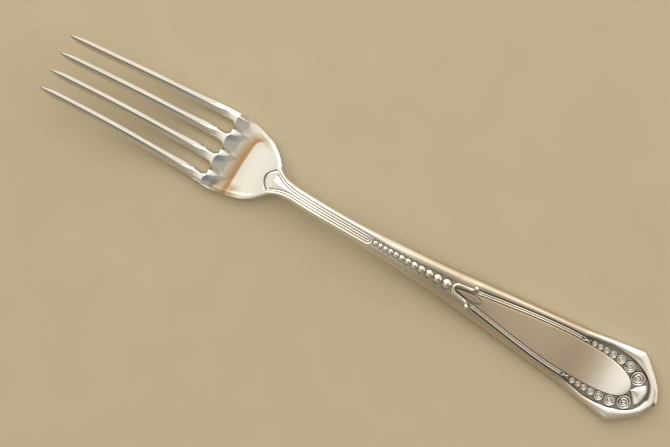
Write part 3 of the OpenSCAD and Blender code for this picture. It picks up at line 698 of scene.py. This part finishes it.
def stem_ring(s):
    half = head_half(s) if s < stem_start else handle_half(s)
    spread = table_curve(spread_shares, held((s - neck) / spread_length))
    a = mix(inner_reed, 0.84 * arc_half, spread)
    b = mix(outer_reed, arc_half, spread)
    crest = b + crest_offset
    high, low = face_line(s), underside(s)
    start = held((s - neck) / 0.5)
    past = max(0, s - turn_centre)
    ring = []
    for from_y, to_y, steps in ((0, a, 14), (a, b, 14), (b, crest, 4)):
        for k in range(steps):
            y = mix(from_y, to_y, k / steps)
            q = math.hypot(past, y)
            if q < a:
                depth = reed_valley(q, -a, a)
            elif q < b:
                depth = reed_valley(q, a, b)
            else:
                depth = held((crest - q) / (crest - b)) ** 1.3
            ring.append((s, y, high - reed_depth * start * depth, reed_dark * start * eased(depth, 0.4, 0.4)))
    fall = stem_fall_share * body_thickness(s)
    lift = stem_back_share * body_thickness(s)
    for k in range(25):
        q = sine(90 * k / 24)
        ring.append((s, mix(crest, half, q), high - fall * flank(q), 0))
    ring += [(s, half, mix(high - fall, low + lift, t), 0) for t in (0.5, 1)]
    for k in range(1, 22):
        share = cosine(90 * k / 22)
        ring.append((s, half * share, low + lift * share ** stem_back_power, 0))
    return mirrored(ring)


stem_stations = np.concatenate([
    np.linspace(neck, neck + spread_length, 60), np.linspace(neck + spread_length + 0.4, turn_centre - 0.3, 60),
    np.linspace(turn_centre, reed_end, 22)])
stem = solid("reeded_stem_plate", [stem_ring(s) for s in stem_stations], plate)
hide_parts("reeded_stem")
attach(stem, "root")

# The handle: a long taper to two corners and a rounded point. The die sinks a ground for the
# ornament and raises the rim, which is a soft cove with a bevel outside it round the end.
border_width = 1.45
curl_place = flower_start + 0.6 * flower_length
petal_span, petal_width = 7.0, 1.3
panel_half_width = panel_width / 2
panel_shares = [(0, 0.36), (0.15, 0.5), (0.5, 0.8), (0.78, 0.965), (1, 1)]
arch_power = 2.5


def panel_half(s):
    if s < panel_arch_start:
        return panel_half_width * table_curve(panel_shares, (s - flower_end) / (panel_arch_start - flower_end))
    t = held((s - panel_arch_start) / panel_arch_length)
    return panel_half_width * held(1 - t ** arch_power) ** (1 / arch_power)


def border_edge(s):
    return panel_half(s) + border_width + chase_gap


ground_half_widest = panel_half_width + 2 * chase_gap + 0.63 * rosette_last
ground_end = fork_length - rim_end_width - 0.5
ground_arch_start = panel_arch_start + 0.36 * panel_arch_length
ground_power = 2.3
row_half = panel_half_width + rosette_first + 3 * chase_gap
ground_rows = [
    (reed_end, bead_first / 2 + chase_gap),
    (mix(bead_start, flower_start, 0.5), mix(bead_first, bead_last, 0.25) / 2 + chase_gap),
    (flower_start, bead_last / 2 + chase_gap), (flower_start + 1.3, 1.5), (curl_place - 1.6, 1.95),
    (curl_place - 0.2, 2.35), (curl_place + 0.9, 2.9), (flower_end, border_edge(flower_end))]


def ground_half(s):
    """Half width of the sunk ground."""
    if s < flower_end:
        return table_curve(ground_rows, s)
    if s < curve_end:
        return border_edge(s)
    if s < panel_arch_start:
        return mix(border_edge(curve_end), row_half, eased(s, curve_end, panel_arch_start - curve_end))
    if s < ground_arch_start:
        return mix(row_half, ground_half_widest, (s - panel_arch_start) / (ground_arch_start - panel_arch_start))
    t = held((s - ground_arch_start) / (ground_end - ground_arch_start))
    return ground_half_widest * held(1 - t ** ground_power) ** (1 / ground_power)


end_outline = [
    (179.3, 10.84), (180.1, 10.93), (180.8, 10.93), (181.4, 10.72), (182.06, 10.3), (183.46, 9.2), (184.86, 7.95),
    (186.27, 6.74), (187.67, 5.33), (188.6, 4.3), (189.4, 3.0), (190.1, 1.5), (190.45, 0.6), (190.5, 0)]
walked = np.concatenate([[0], np.cumsum(np.hypot(*np.diff(np.array(end_outline), axis=0).T))])
outline_s, outline_y = (spline(list(zip(walked, places))) for places in zip(*end_outline))
fan_count, fan_straight = 150, 0.46
fan_start, fan_centre = 158.0, 181.5
cove_start, cove_run, cove_power = 163, 9, 3.364
crest_gap, tip_crest_gap, crest_rise = 1.65, 1.1, 0.1
bevel_fall = 0.4
back_share, back_power = 0.2, 8
ground_dark, end_ground_film_and_shade, rose_ground_lightening = 0.32, 0.85, 0.15
end_flank_bend, wall_run, flower_wall_run = 2.8, 0.2, 0.35
side_dark, side_dark_from = 0.25, 108


def halved(fits, low, high, steps):
    """Halves the span between a place that fits and one that doesn't; returns what is left of it."""
    for _ in range(steps):
        middle = (low + high) / 2
        low, high = (middle, high) if fits(middle) else (low, middle)
    return low, high


def fan_station(t):
    """Point on the middle line and point on the outline for a station round the end."""
    if t < fan_straight:
        s = mix(fan_start, end_outline[0][0], t / fan_straight)
        outer = (s, handle_half(s))
    else:
        w = (t - fan_straight) / (1 - fan_straight) * walked[-1]
        outer = (outline_s(w), max(outline_y(w), 0))
    return (mix(outer[0], mix(fan_start, fan_centre, t), ease(t)), 0), outer


def handle_section(inner, outer, gap):
    """One ring of the handle, cut from the middle line to the outline, its crest a gap inside it."""
    def at(q):
        return mix(inner[0], outer[0], q), mix(inner[1], outer[1], q)

    def on_ground(q):
        s, y = at(q)
        return y < ground_half(s) and s < ground_end
    here = inner[0]
    reach = math.hypot(outer[0] - here, outer[1] - inner[1])
    edge = max(halved(on_ground, 0, 1, 24)[0], 0.02)
    width = (1 - edge) * reach
    beside_flower = eased(here, flower_start, 1.5) * (1 - eased(here, curl_place, 1.5))
    # The ground's darkness is patina in the sunk ground; round the end, between roses and rim, it is also painted
    # shade, lightened a little from the knots on.
    darkness = mix(ground_dark, end_ground_film_and_shade, eased(here, curl_place, 3))
    darkness -= rose_ground_lightening * eased(here, knot_place, 6)
    coved = eased(here * 0.3 + outer[0] * 0.7, cove_start, cove_run)
    crest = 1 - min(0.5, gap / width)
    bend = mix(flank_bend, end_flank_bend, eased(here, reed_end, 25))
    stem_like = 1 - eased(here, reed_end, 6)
    flat = held(outer_reed + crest_offset - edge * reach) * stem_like
    ring = []
    for k in range(13):
        s, y = at(edge * (k / 12) ** 0.8)
        ring.append((s, y, ground(s), darkness))
    for k in range(1, 57):
        p = (k / 56) ** 1.5 if k < 28 else mix(0.5 ** 1.5, 1, sine(90 * (k - 28) / 28))
        s, y = at(mix(edge, 1, p))
        sunk, high, low = ground(s), face_line(s), underside(s)
        far = p * width
        # Beside the straight border the die leaves a short wall, then a rounded flank
        wall = sine(90 * held(far / mix(wall_run, flower_wall_run, beside_flower))) * ground_depth
        side_fall = high - low - back_share * (high - low) - min(1, 0.5 * (high - low))
        fall = mix(side_fall, stem_fall_share * stem_thickness, stem_like)
        side = sunk + wall + (high - sunk - ground_depth) - fall * flank((far - flat) / (width - flat), bend)
        # Round the end the rim swells up from the ground to a crest, with a bevel outside it
        if p < crest:
            rim = mix(sunk, high + crest_rise, 1 - (1 - p / crest) ** cove_power)
        else:
            rim = high + crest_rise - (bevel_fall + crest_rise) * ((p - crest) / (1 - crest)) ** 1.6
        # The flank is painted darker on its inner part along the handle, and the ground's darkness runs up the wall
        # and the cove: patina with painted shade.
        inner_flank_dark = side_dark * (1 - eased(p, 0.3, 0.3)) * eased(here, side_dark_from, 12) * (1 - coved)
        hollow_film_and_shade = darkness * mix(1 - ease(far / 0.15), 1 - ease(far / 0.3), coved)
        ring.append((s, y, mix(side, rim, coved), max(inner_flank_dark, hollow_film_and_shade)))
    s, y = outer
    edge_high = ring[-1][2]
    lift_share = mix(back_share, stem_back_share, stem_like)
    edge_low = underside(s) + lift_share * (face_line(s) - underside(s))
    ring += [(s, y, mix(edge_high, edge_low, t), 0) for t in (0.35, 0.7, 1)]
    for share in (1 - (k / 24) ** 1.6 for k in range(1, 24)):
        s, y = at(share)
        lift = lift_share * (face_line(s) - underside(s)) * share ** mix(back_power, stem_back_power, stem_like)
        ring.append((s, y, underside(s) + lift, 0))
    return mirrored(ring)


fan = [fan_station(k / fan_count) for k in range(fan_count + 1)]
rim_line = np.array([outer for _, outer in fan])


def crest_inset(inner, outer):
    """How far inside the outline a section meets the crest of the rim."""
    wanted = mix(crest_gap, tip_crest_gap, eased(outer[0], 184, 4))
    inward = np.array(inner) - outer

    def near_rim(q):
        return np.hypot(*(rim_line - (np.array(outer) + inward * q)).T).min() < wanted
    return halved(near_rim, 0, 0.6, 16)[0] * math.hypot(*inward)


smooth_reach = 9
insets = np.array([crest_inset(*station) for station in fan])
padded = np.concatenate([np.full(smooth_reach, insets[0]), insets, insets[:-smooth_reach - 1:-1]])
smooth_span = 2 * smooth_reach + 1
insets = np.convolve(padded, np.ones(smooth_span) / smooth_span, "valid")
handle_rings = [handle_section((s, 0), (s, handle_half(s)), crest_gap) for s in np.concatenate([
    np.linspace(reed_end, flower_start, 40)[:-1], np.linspace(flower_start, flower_end, 50)[:-1],
    np.linspace(flower_end, fan_start, 50)[:-1]])]
handle_rings += [handle_section(*station, inset) for station, inset in zip(fan, insets)]
handle = solid("handle_plate", handle_rings, plate, far_cap=False)
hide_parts("handle")
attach(handle, "root")

# Struck relief: the same plate, whiter on its tops where it is wiped, with dark patina left in
# every hollow. It keeps more of its shine than the flat parts, which hands have dulled.
relief = plate.copy()
relief.name = "struck_relief_plate"
relief.node_tree.nodes["aged tone"].inputs["B"].default_value = hex_colour("#F2ECE0")
relief.node_tree.nodes["wear"].inputs[1].default_value = 0.03


def plain_mesh(carrier, name):
    """The evaluated result of a carrier's node tree as a finished piece."""
    made_mesh = bpy.data.meshes.new_from_object(carrier.evaluated_get(bpy.context.evaluated_depsgraph_get()))
    carrier.modifiers.clear()
    old = carrier.data
    carrier.data = made_mesh
    bpy.data.meshes.remove(old)
    made_mesh.name = name
    carrier.name = name
    return carrier


def node_tree(name, sizes):
    """An empty geometry tree with named inputs; returns it with its given sockets and its end."""
    made_tree = bpy.data.node_groups.new(name, "GeometryNodeTree")
    made_tree.interface.new_socket("Geometry", in_out="INPUT", socket_type="NodeSocketGeometry")
    for label, kind in sizes.items():
        made_tree.interface.new_socket(label, in_out="INPUT", socket_type="NodeSocket" + kind)
    made_tree.interface.new_socket("Geometry", in_out="OUTPUT", socket_type="NodeSocketGeometry")
    return made_tree, made_tree.nodes.new("NodeGroupInput").outputs, made_tree.nodes.new("NodeGroupOutput")


def close_tree(made_tree, shape, given, result):
    """Closes a geometry tree: real meshes in the finish that it is given."""
    real = add(made_tree, "GeometryNodeRealizeInstances", {0: shape})
    feed(made_tree, result, {0: add(made_tree, "GeometryNodeSetMaterial", {
        "Geometry": real, "Material": given["Finish"]})})


def grow(name, points, made_tree, values, edges=(), **measures):
    """A piece grown by a node tree on points in metres, with values for its named inputs."""
    seed_mesh = bpy.data.meshes.new(name + "_seed")
    seed_mesh.from_pydata(points, edges, [])
    for measure, numbers in measures.items():
        seed_mesh.attributes.new(measure, "FLOAT", "POINT").data.foreach_set("value", numbers)
    carrier = bpy.data.objects.new(name, seed_mesh)
    scene.collection.objects.link(carrier)
    modifier = carrier.modifiers.new("grow", "NODES")
    modifier.node_group = made_tree
    for item in made_tree.interface.items_tree:
        if item.in_out == "INPUT" and item.name in values:
            modifier[item.identifier] = values[item.name]
    return plain_mesh(carrier, name)


# The beads: twelve round caps struck in a row between the reeds and the flower, each as wide as
# its place in the row asks, and touching the next.
bead_tree, given, result = node_tree("bead_row", {
    "Count": "Int", "First width": "Float", "Last width": "Float", "Gap": "Float", "Slope": "Float", "Cap": "Float",
    "Finish": "Material"})
last_number = maths(bead_tree, "SUBTRACT", given["Count"], 1.0)
share = maths(bead_tree, "DIVIDE", add(bead_tree, "GeometryNodeInputIndex"), last_number)
squared = maths(bead_tree, "POWER", share, 2.0)
width = ranged(bead_tree, squared, (0.0, 1.0), (given["First width"], given["Last width"]))
step = maths(bead_tree, "ADD", width, given["Gap"])
walk = add(bead_tree, "GeometryNodeAccumulateField", {0: step}).outputs["Trailing"]
centre = maths(bead_tree, "MULTIPLY_ADD", width, 0.5, walk)
down = maths(bead_tree, "MULTIPLY", centre, given["Slope"])
row = add(bead_tree, "GeometryNodeSetPosition", {
    "Geometry": add(bead_tree, "GeometryNodePoints", {"Count": given["Count"]}),
    "Position": add(bead_tree, "ShaderNodeCombineXYZ", {"X": centre, "Z": down})})
squashed = add(bead_tree, "GeometryNodeTransform", {
    "Geometry": add(bead_tree, "GeometryNodeMeshUVSphere", {"Segments": 40, "Rings": 40, "Radius": 0.5}),
    "Scale": add(bead_tree, "ShaderNodeCombineXYZ", {"X": 1.0, "Y": 1.0, "Z": given["Cap"]})})
up = add(bead_tree, "ShaderNodeSeparateXYZ", {0: add(bead_tree, "GeometryNodeInputPosition")}).outputs["Z"]
darkened = add(bead_tree, "GeometryNodeStoreNamedAttribute", {
    "Geometry": squashed, "Name": "patina", "Value": ranged(bead_tree, up, (0.02, 0.2), (1.0, 0.0))},
    data_type="FLOAT", domain="POINT")
placed = add(bead_tree, "GeometryNodeInstanceOnPoints", {"Points": row, "Instance": darkened, "Scale": width})
moved = add(bead_tree, "GeometryNodeTransform", {
    "Geometry": add(bead_tree, "GeometryNodeSetShadeSmooth", {"Geometry": placed}),
    "Translation": ((bead_start - fork_length / 2) * MM, 0, ground(bead_start) * MM)})
close_tree(bead_tree, moved, given, result)
beads = grow("bead_row_relief", [(0, 0, 0)], bead_tree, {
    "Count": bead_number, "First width": bead_first * MM, "Last width": bead_last * MM, "Gap": chase_gap / 4 * MM,
    "Slope": bead_run, "Cap": 0.8, "Finish": relief})
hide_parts("bead_row")
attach(beads, "root")

# The husk flower: two petals rise from one cup and curl outwards in a small knob, and a veined
# leaf lies between them. All of it is struck relief, and the leaf is dulled like the panel.
petal_height = 1.25 * ground_depth
petal_growth, knob_growth = 1.3, 1.65
petal_taper, petal_close, knob_from = 0.75, 0.06, 0.8
flute_depth, flute_place, flute_half = 0.08, 0.35, 0.12
knob_half, knob_rise = 0.85, 1.05
cup_r, curl_r = 1.35, 0.23 * petal_span
lean, curl_turn = 10, 85
cup_turn = 90 - lean
cup_end, curl_from = 0.3, 0.6
petal_from = flower_start + petal_width / 2
cup_to = (petal_from + cup_r * (1 - cosine(cup_turn)), cup_r * sine(cup_turn))
run_to = (curl_place - curl_r * (1 - sine(lean)),
          petal_span / 2 - curl_r * (cosine(lean) - cosine(lean + curl_turn)))


def petal_line(t):
    """A place on a petal's middle line, and the way the line runs there, in degrees."""
    if t < cup_end:
        a = cup_turn * t / cup_end
        return petal_from + cup_r * (1 - cosine(a)), cup_r * sine(a), 90 - a
    if t < curl_from:
        w = (t - cup_end) / (curl_from - cup_end)
        return mix(cup_to[0], run_to[0], w), mix(cup_to[1], run_to[1], w), lean
    a = lean + curl_turn * (t - curl_from) / (1 - curl_from)
    return run_to[0] + curl_r * (sine(a) - sine(lean)), run_to[1] + curl_r * (cosine(lean) - cosine(a)), a


def petal(side):
    rings = []
    for t in (k / 80 for k in range(81)):
        s, y, a = petal_line(t)
        close = math.sqrt(held((1 - t) / petal_close))
        knob = eased(t, knob_from, 0.07) * close
        blade = petal_width / 2 * mix(1, petal_taper, eased(t, 0.45, 0.35)) * close
        w = max(mix(blade, knob_half, knob) * close, 0.03)
        h = petal_height * mix(mix(1.0, petal_growth, eased(t, 0.5, 0.2)), knob_growth, knob) * mix(0.5, 1, close)
        ring = []
        for u in (i / 10 - 1 for i in range(21)):
            flute = flute_depth * bump(u + flute_place, flute_half) * (1 - knob) * eased(t, 0.12, 0.15)
            dark = 0.7 * eased(abs(u), 0.88, 0.1) + 4 * flute * ease((0.45 - t) / 0.1)
            spot = s - sine(a) * w * u
            z = h * (math.sqrt(held(1 - abs(u) ** 2.6)) - flute)
            ring.append((spot, side * (y + cosine(a) * w * u), ground(spot) + z, held(dark)))
        rings.append(ring)
    return rings


def petal_knob(side):
    """The round knob in which a petal's tip is rolled up."""
    s, y, _ = petal_line(0.9)
    rings = []
    for k in range(14):
        a = 90 * min(k - 1, 12) / 12
        r = max(knob_half * cosine(a), 0.01)
        z = ground(s) + (0 if k == 0 else 0.2 + knob_rise * sine(a))
        dark = 1 - eased(k, 3.5, 2.5)
        rings.append([(s + r * cosine(15 * j), side * y + r * sine(15 * j), z, dark) for j in range(24)])
    return rings


def joined(name, parts):
    """Several finished solids as one piece."""
    shape = bmesh.new()
    for part in parts:
        shape.from_mesh(part.data)
    shape.to_mesh(parts[0].data)
    shape.free()
    for part in parts[1:]:
        bpy.data.objects.remove(part)
    parts[0].name = name
    return parts[0]


petals = joined("husk_petals_relief", [
    solid("petal", form(side), relief, 60) for side in (1, -1) for form in (petal, petal_knob)])
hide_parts("husk_petals")
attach(petals, "root")

leaf_width, leaf_outline = 2.5, 0.34
leaf_from, leaf_to = flower_start + petal_width + 0.15, flower_end - 0.8
leaf_shares = [(0, 0.3), (0.15, 0.52), (0.35, 0.76), (0.55, 0.95), (0.7, 1), (0.84, 0.82), (0.94, 0.45), (1, 0.04)]
panel_crown = 0.1 * ground_depth
leaf_rings = []
for t in (k / 60 for k in range(61)):
    s = mix(leaf_from, leaf_to, t)
    w = leaf_width / 2 * table_curve(leaf_shares, t)
    ring = []
    for u in (i / 16 - 1 for i in range(33)):
        out = abs(u)
        veins = 0.9 * bump(out, 0.1) + 0.35 * bump(out - 0.5, 0.1)
        veins *= ease(t / 0.1) * (1 - eased(t, 0.75, 0.2))
        z = mix(petal_height * 1.05, ground_depth + panel_crown + 0.03, out ** 2.2) - 0.07 * veins
        dark = held(veins + 0.9 * eased(out * w, w - leaf_outline, 0.12))
        ring.append((s, w * u, ground(s) + (z if out < 1 else 0), dark))
    leaf_rings.append(ring)
leaf = solid("husk_leaf_relief", leaf_rings, relief, 50)
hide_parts("husk_leaf")
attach(leaf, "root")

# The panel: a long plain field, a little crowned, whose round end curls up. It is finished satin
# with fine brushing along the fork, so that it glows softly instead of mirroring the room. The
# flower's leaf has the same finish.
satin, tree, place = material("satin_brushed_silver_plate")
along = add(tree, "ShaderNodeSeparateXYZ", {0: place}).outputs["X"]
# Towards the round end the tone turns nearly white as a painted highlight, and the roughness falls where the end is
# rubbed smoother.
rubbing_and_highlight = ranged(tree, along, (71 * MM, 84 * MM), kind="SMOOTHSTEP")
tone = blend(tree, rubbing_and_highlight, mottled(tree, place, 110, 2, "#DECCB4", "#D5C2A7"), "#FCFAF6")
dark = add(tree, "ShaderNodeAttribute", attribute_name="patina").outputs["Fac"]
brushing = strokes(tree, place, (120, 6000, 6000), 4, 0.65)
brushed = ranged(tree, brushing, (0.3, 0.7), (0.3, 0.42))
rubbing_gain = -0.21
roughness = maths(tree, "MULTIPLY_ADD", rubbing_and_highlight, rubbing_gain, brushed)
finish_metal(tree, blend(tree, dark, tone, patina_and_shade_tone), roughness, brushing)
leaf.data.materials[0] = satin

first_slope = (panel_half(flower_end + 0.5) - panel_half(flower_end)) / 0.5
tongue_start = leaf_from + 0.3
edge_width, edge_fall = 0.16, 0.1
lift_start = 156
panel_lift = [
    (lift_start, 0), (164, 0), (168, 0.04), (171, 0.17), (174, 0.46), (176.5, 0.79), (179, 1.12), (180.8, 1.3),
    (182.5, 1.36)]


def border_half(s):
    """Half width of the panel, run back between the petals in the same slope."""
    return panel_half(s) if s > flower_end else panel_half(flower_end) + first_slope * (s - flower_end)


def panel_rim(angle):
    """A place on the panel's round end, from its side at 0 degrees to its tip at 90."""
    return np.array([panel_arch_start + panel_arch_length * sine(angle) ** (2 / arch_power),
                     panel_half_width * cosine(angle) ** (2 / arch_power)])


panel_stations = np.linspace(tongue_start, flower_end, 24)[:-1].tolist()
panel_stations += np.linspace(flower_end, panel_arch_start, 60)[:-1].tolist()
panel_stations += [float(panel_rim(89 * k / 50)[0]) for k in range(51)]
panel_rings = []
for s in panel_stations:
    w = border_half(s) * max(math.sqrt(held((s - tongue_start) / 1.5)), 0.05)
    lift = table_curve(panel_lift, max(s, lift_start))
    ring = []
    for u in (sine(90 * k / 24) for k in range(25)):
        edge = eased(u, 1 - edge_width / w, edge_width / w) if w > edge_width else eased(u, 0.5, 0.5)
        top = ground(s) + ground_depth + panel_crown * (1 - u * u) + lift
        ring.append((s, w * u, top - edge_fall * edge, 0.35 * edge))
    ring += [(s, w, ground(s) + 0.2, 0.9), (s, w, ground(s), 0.9)]
    panel_rings.append(mirrored(ring))
panel = solid("smooth_panel", panel_rings, satin, 40)
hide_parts("panel")
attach(panel, "root")

# The border: two fine reeds beside the panel on each side, which start at the petals' curls and
# end in a crossed ribbon. They are swept along lines that follow the panel's edge.
strand_tree, given, result = node_tree("swept_strand", {
    "Height share": "Float", "Sides": "Int", "Finish": "Material"})
width = add(strand_tree, "GeometryNodeInputNamedAttribute", {"Name": "width"}, data_type="FLOAT")
line = add(strand_tree, "GeometryNodeMeshToCurve", {"Mesh": given["Geometry"]})
circle = add(strand_tree, "GeometryNodeCurvePrimitiveCircle", {"Resolution": given["Sides"], "Radius": 1.0})
flatten = add(strand_tree, "ShaderNodeCombineXYZ", {"X": given["Height share"], "Y": 1.0, "Z": 1.0})
swept = add(strand_tree, "GeometryNodeCurveToMesh", {
    "Curve": add(strand_tree, "GeometryNodeSetCurveNormal", {"Curve": line}, mode="Z_UP"),
    "Profile Curve": add(strand_tree, "GeometryNodeTransform", {"Geometry": circle, "Scale": flatten}),
    "Scale": maths(strand_tree, "MULTIPLY", width, 0.5), "Fill Caps": True})
close_tree(strand_tree, add(strand_tree, "GeometryNodeSetShadeSmooth", {"Geometry": swept}), given, result)

lane_width = (border_width - 2 * chase_gap) / 2
reed_from = curl_place + petal_width / 2 + 2 * chase_gap
ribbon_half, ribbon_swing, ribbon_width = 0.46 * knot_length, 0.42, 0.46
ribbon_middle = panel_half(knot_place) + border_width / 2


def on_fork(s, y, z):
    """A place given in millimetres, s from the tine points, in the scene's metres."""
    return (s - fork_length / 2) * MM, y * MM, z * MM


def strands(name, lines, height_share):
    """Strands of relief along lines of (s, y, z, width) in millimetres."""
    points, edges = [], []
    for line in lines:
        edges += [(len(points) + i, len(points) + i + 1) for i in range(len(line) - 1)]
        points += line
    return grow(name, [on_fork(*p[:3]) for p in points], strand_tree, {
        "Height share": height_share, "Sides": 20, "Finish": relief}, edges, width=[p[3] * MM for p in points])


def border_reed(side, lane):
    return [
        (s, side * (border_half(s) + chase_gap + lane_width * (lane + 0.5)), ground(s) + 0.12,
         (lane_width - 1.3 * chase_gap) * min(1, 0.35 + (s - reed_from) / 1.5))
        for s in np.linspace(reed_from, curve_end, 80).tolist()]


def ribbon(side, way):
    line = []
    for t in (-1 + k / 12 for k in range(25)):
        s = knot_place + t * ribbon_half
        z = ground(s) + 0.24 + 0.12 * way * bump(t, 0.3)
        width = ribbon_width * (1 - 0.45 * abs(t) ** 3)
        line.append((s, side * (ribbon_middle + way * ribbon_swing * math.sin(t * 1.45)), z, width))
    return line


for side, node in ((1, "border_reeds_left"), (-1, "border_reeds_right")):
    reeds = strands(node + "_relief", [border_reed(side, lane) for lane in (0, 1)], 1.15)
    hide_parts(node)
    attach(reeds, "root")

knots = strands("ribbon_knots_relief", [ribbon(side, way) for side in (1, -1) for way in (1, -1)], 0.75)
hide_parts("ribbon_knots")
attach(knots, "root")

# The rosettes: seven roses on each side, growing towards the end, each set against the panel's
# arch and touching the next. A rose has three rings of rolled petals round a coiled heart.
rosette_number = 7
rosette_widths = [
    mix(rosette_first, rosette_last, (k / (rosette_number - 1)) ** 2.2) for k in range(rosette_number)]
petal_rings = [(1.0, 0.64, 5, 0.0, 0.76), (0.64, 0.3, 3, 0.4, 0.92), (0.3, 0.0, 2, 0.1, 1.0)]
rose_side, rose_foot = 0.07, 0.25
rose_rings, rose_turns = 40, 96


def beside_arch(angle, r):
    along = panel_rim(min(angle + 0.5, 90)) - panel_rim(max(angle - 0.5, 0))
    return panel_rim(angle) + (r + chase_gap) * np.array([-along[1], along[0]]) / np.hypot(*along)


def next_angle(angle, last, r_old, r_new):
    """The place along the arch where the next rose touches the last."""
    def too_near(a):
        return np.hypot(*(beside_arch(a, r_new) - last)) <= r_old + r_new + chase_gap
    return sum(halved(too_near, angle, 90, 22)) / 2


angle = 1.5
chain = [beside_arch(angle, rosette_widths[0] / 2)]
for before, after in zip(rosette_widths, rosette_widths[1:]):
    angle = next_angle(angle, chain[-1], before / 2, after / 2)
    chain.append(beside_arch(angle, after / 2))


def rose_height(r, turn_share):
    """Height share and patina of the rose at a radius share and a share of a full turn."""
    for outer, inner, petal_number, start, level in petal_rings:
        rolled = 1 + 0.2 * ((petal_number * turn_share + start) % 1 - 0.5)
        top, bottom = outer * rolled if outer < 1 else outer, inner * rolled
        if r >= bottom:
            q = held((r - bottom) / max(top - bottom, 1e-6))
            lip = math.sin(math.pi * q ** 1.3) ** 0.8
            return level * (0.8 + 0.2 * lip), held(bump(q, 0.2) + bump(1 - q, 0.08))
    return 1.0, 0.0


rose_points, rose_dark, rose_faces = [(0, 0, 0.98)], [0.1], []
for i in range(1, rose_rings + 2):
    r = min(i / rose_rings, 1)
    for j in range(rose_turns):
        height, dark = rose_height(r, j / rose_turns)
        if r > 1 - rose_side:
            height, dark = mix(rose_foot, height, (1 - r) / rose_side), 0.9
        if i > rose_rings:
            height, dark = 0, 1.0
        a = 2 * math.pi * j / rose_turns
        rose_points.append((r / 2 * math.cos(a), r / 2 * math.sin(a), height))
        rose_dark.append(dark)
for j in range(rose_turns):
    k = (j + 1) % rose_turns
    rose_faces.append((0, 1 + j, 1 + k))
    for i in range(rose_rings):
        a, b = 1 + i * rose_turns, 1 + (i + 1) * rose_turns
        rose_faces.append((a + j, b + j, b + k, a + k))
rose_faces.append(tuple(1 + rose_rings * rose_turns + j for j in range(rose_turns - 1, -1, -1)))
rose_mesh = bpy.data.meshes.new("rose_die")
rose_mesh.from_pydata(rose_points, [], rose_faces)
rose_mesh.attributes.new("patina", "FLOAT", "POINT").data.foreach_set("value", rose_dark)
rose_mesh.polygons.foreach_set("use_smooth", [True] * len(rose_mesh.polygons))
rose_mesh.materials.append(relief)
rose = bpy.data.objects.new("rose_die", rose_mesh)

rose_tree, given, result = node_tree("rosette_chain", {
    "Rose": "Object", "Ground part": "Float", "Rise share": "Float", "Seed": "Int", "Finish": "Material"})
lean_angle = add(rose_tree, "GeometryNodeInputNamedAttribute", {"Name": "lean"}, data_type="FLOAT")
width = add(rose_tree, "GeometryNodeInputNamedAttribute", {"Name": "width"}, data_type="FLOAT")
rise = maths(rose_tree, "MULTIPLY_ADD", width, given["Rise share"], given["Ground part"])
spin = add(rose_tree, "FunctionNodeRandomValue", {"Seed": given["Seed"], 3: 2 * math.pi}, data_type="FLOAT")
placed = add(rose_tree, "GeometryNodeInstanceOnPoints", {
    "Points": given["Geometry"],
    "Instance": add(rose_tree, "GeometryNodeObjectInfo", {"Object": given["Rose"]}).outputs["Geometry"],
    "Rotation": add(rose_tree, "ShaderNodeCombineXYZ", {"Y": lean_angle, "Z": spin}),
    "Scale": add(rose_tree, "ShaderNodeCombineXYZ", {"X": width, "Y": width, "Z": rise})})
close_tree(rose_tree, placed, given, result)

for side, node, seed in ((1, "rosettes_left", 4), (-1, "rosettes_right", 9)):
    roses = grow(node + "_relief", [on_fork(s, side * y, ground(s)) for s, y in chain], rose_tree, {
        "Rose": rose, "Ground part": ground_depth / 2 * MM, "Rise share": 0.22, "Seed": seed, "Finish": relief},
        width=[across * MM for across in rosette_widths],
        lean=[-math.atan((ground(s + 1) - ground(s - 1)) / 2) for s, _ in chain])
    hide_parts(node)
    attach(roses, "root")
bpy.data.objects.remove(rose)

# The shell: a smooth little fan between the two largest roses, which falls to its edges and
# closes the wreath at the very end of the handle.
shell_root = panel_end + 2 * chase_gap
shell_height, shell_side_power = 1.5 * ground_depth, 3
shell_shares = [(0, 1.0), (0.3, 0.85), (0.6, 0.77), (0.92, 0.76), (1, 0.45)]
shell_gap = chain[-1] - np.array([shell_root, 0])
rose_angle = math.asin((rosette_last / 2 + chase_gap) / np.hypot(*shell_gap))
shell_angle = math.degrees(math.atan2(shell_gap[1], shell_gap[0]) - rose_angle)


def shell_reach(a):
    def on_ground(r):
        return r * sine(abs(a)) + chase_gap < ground_half(shell_root + r * cosine(a) + 2 * chase_gap)
    return halved(on_ground, 0, rim_end_width + 2 * rosette_last, 24)[0]


shell_rings = []
for across in (1 - k / 24 for k in range(49)):
    a, out = shell_angle * across, abs(across)
    reach = shell_reach(a) * (1 - 0.1 * out ** 4)
    ring = []
    for r in (mix(0.03, 1, i / 30) for i in range(31)):
        s, y = shell_root + r * reach * cosine(a), r * reach * sine(a)
        z = shell_height * table_curve(shell_shares, r) * (1 - 0.65 * out ** shell_side_power)
        ring.append((s, y, ground(s) + z, 0.9 * max(eased(r, 0.92, 0.08), eased(out, 0.92, 0.08))))
    for r in (1, 0.03):
        s, y = shell_root + r * reach * cosine(a), r * reach * sine(a)
        ring.append((s, y, ground(s), 0.9))
    shell_rings.append(ring)
shell = solid("tip_shell_relief", shell_rings, relief, 50)
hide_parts("tip_shell")
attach(shell, "root")
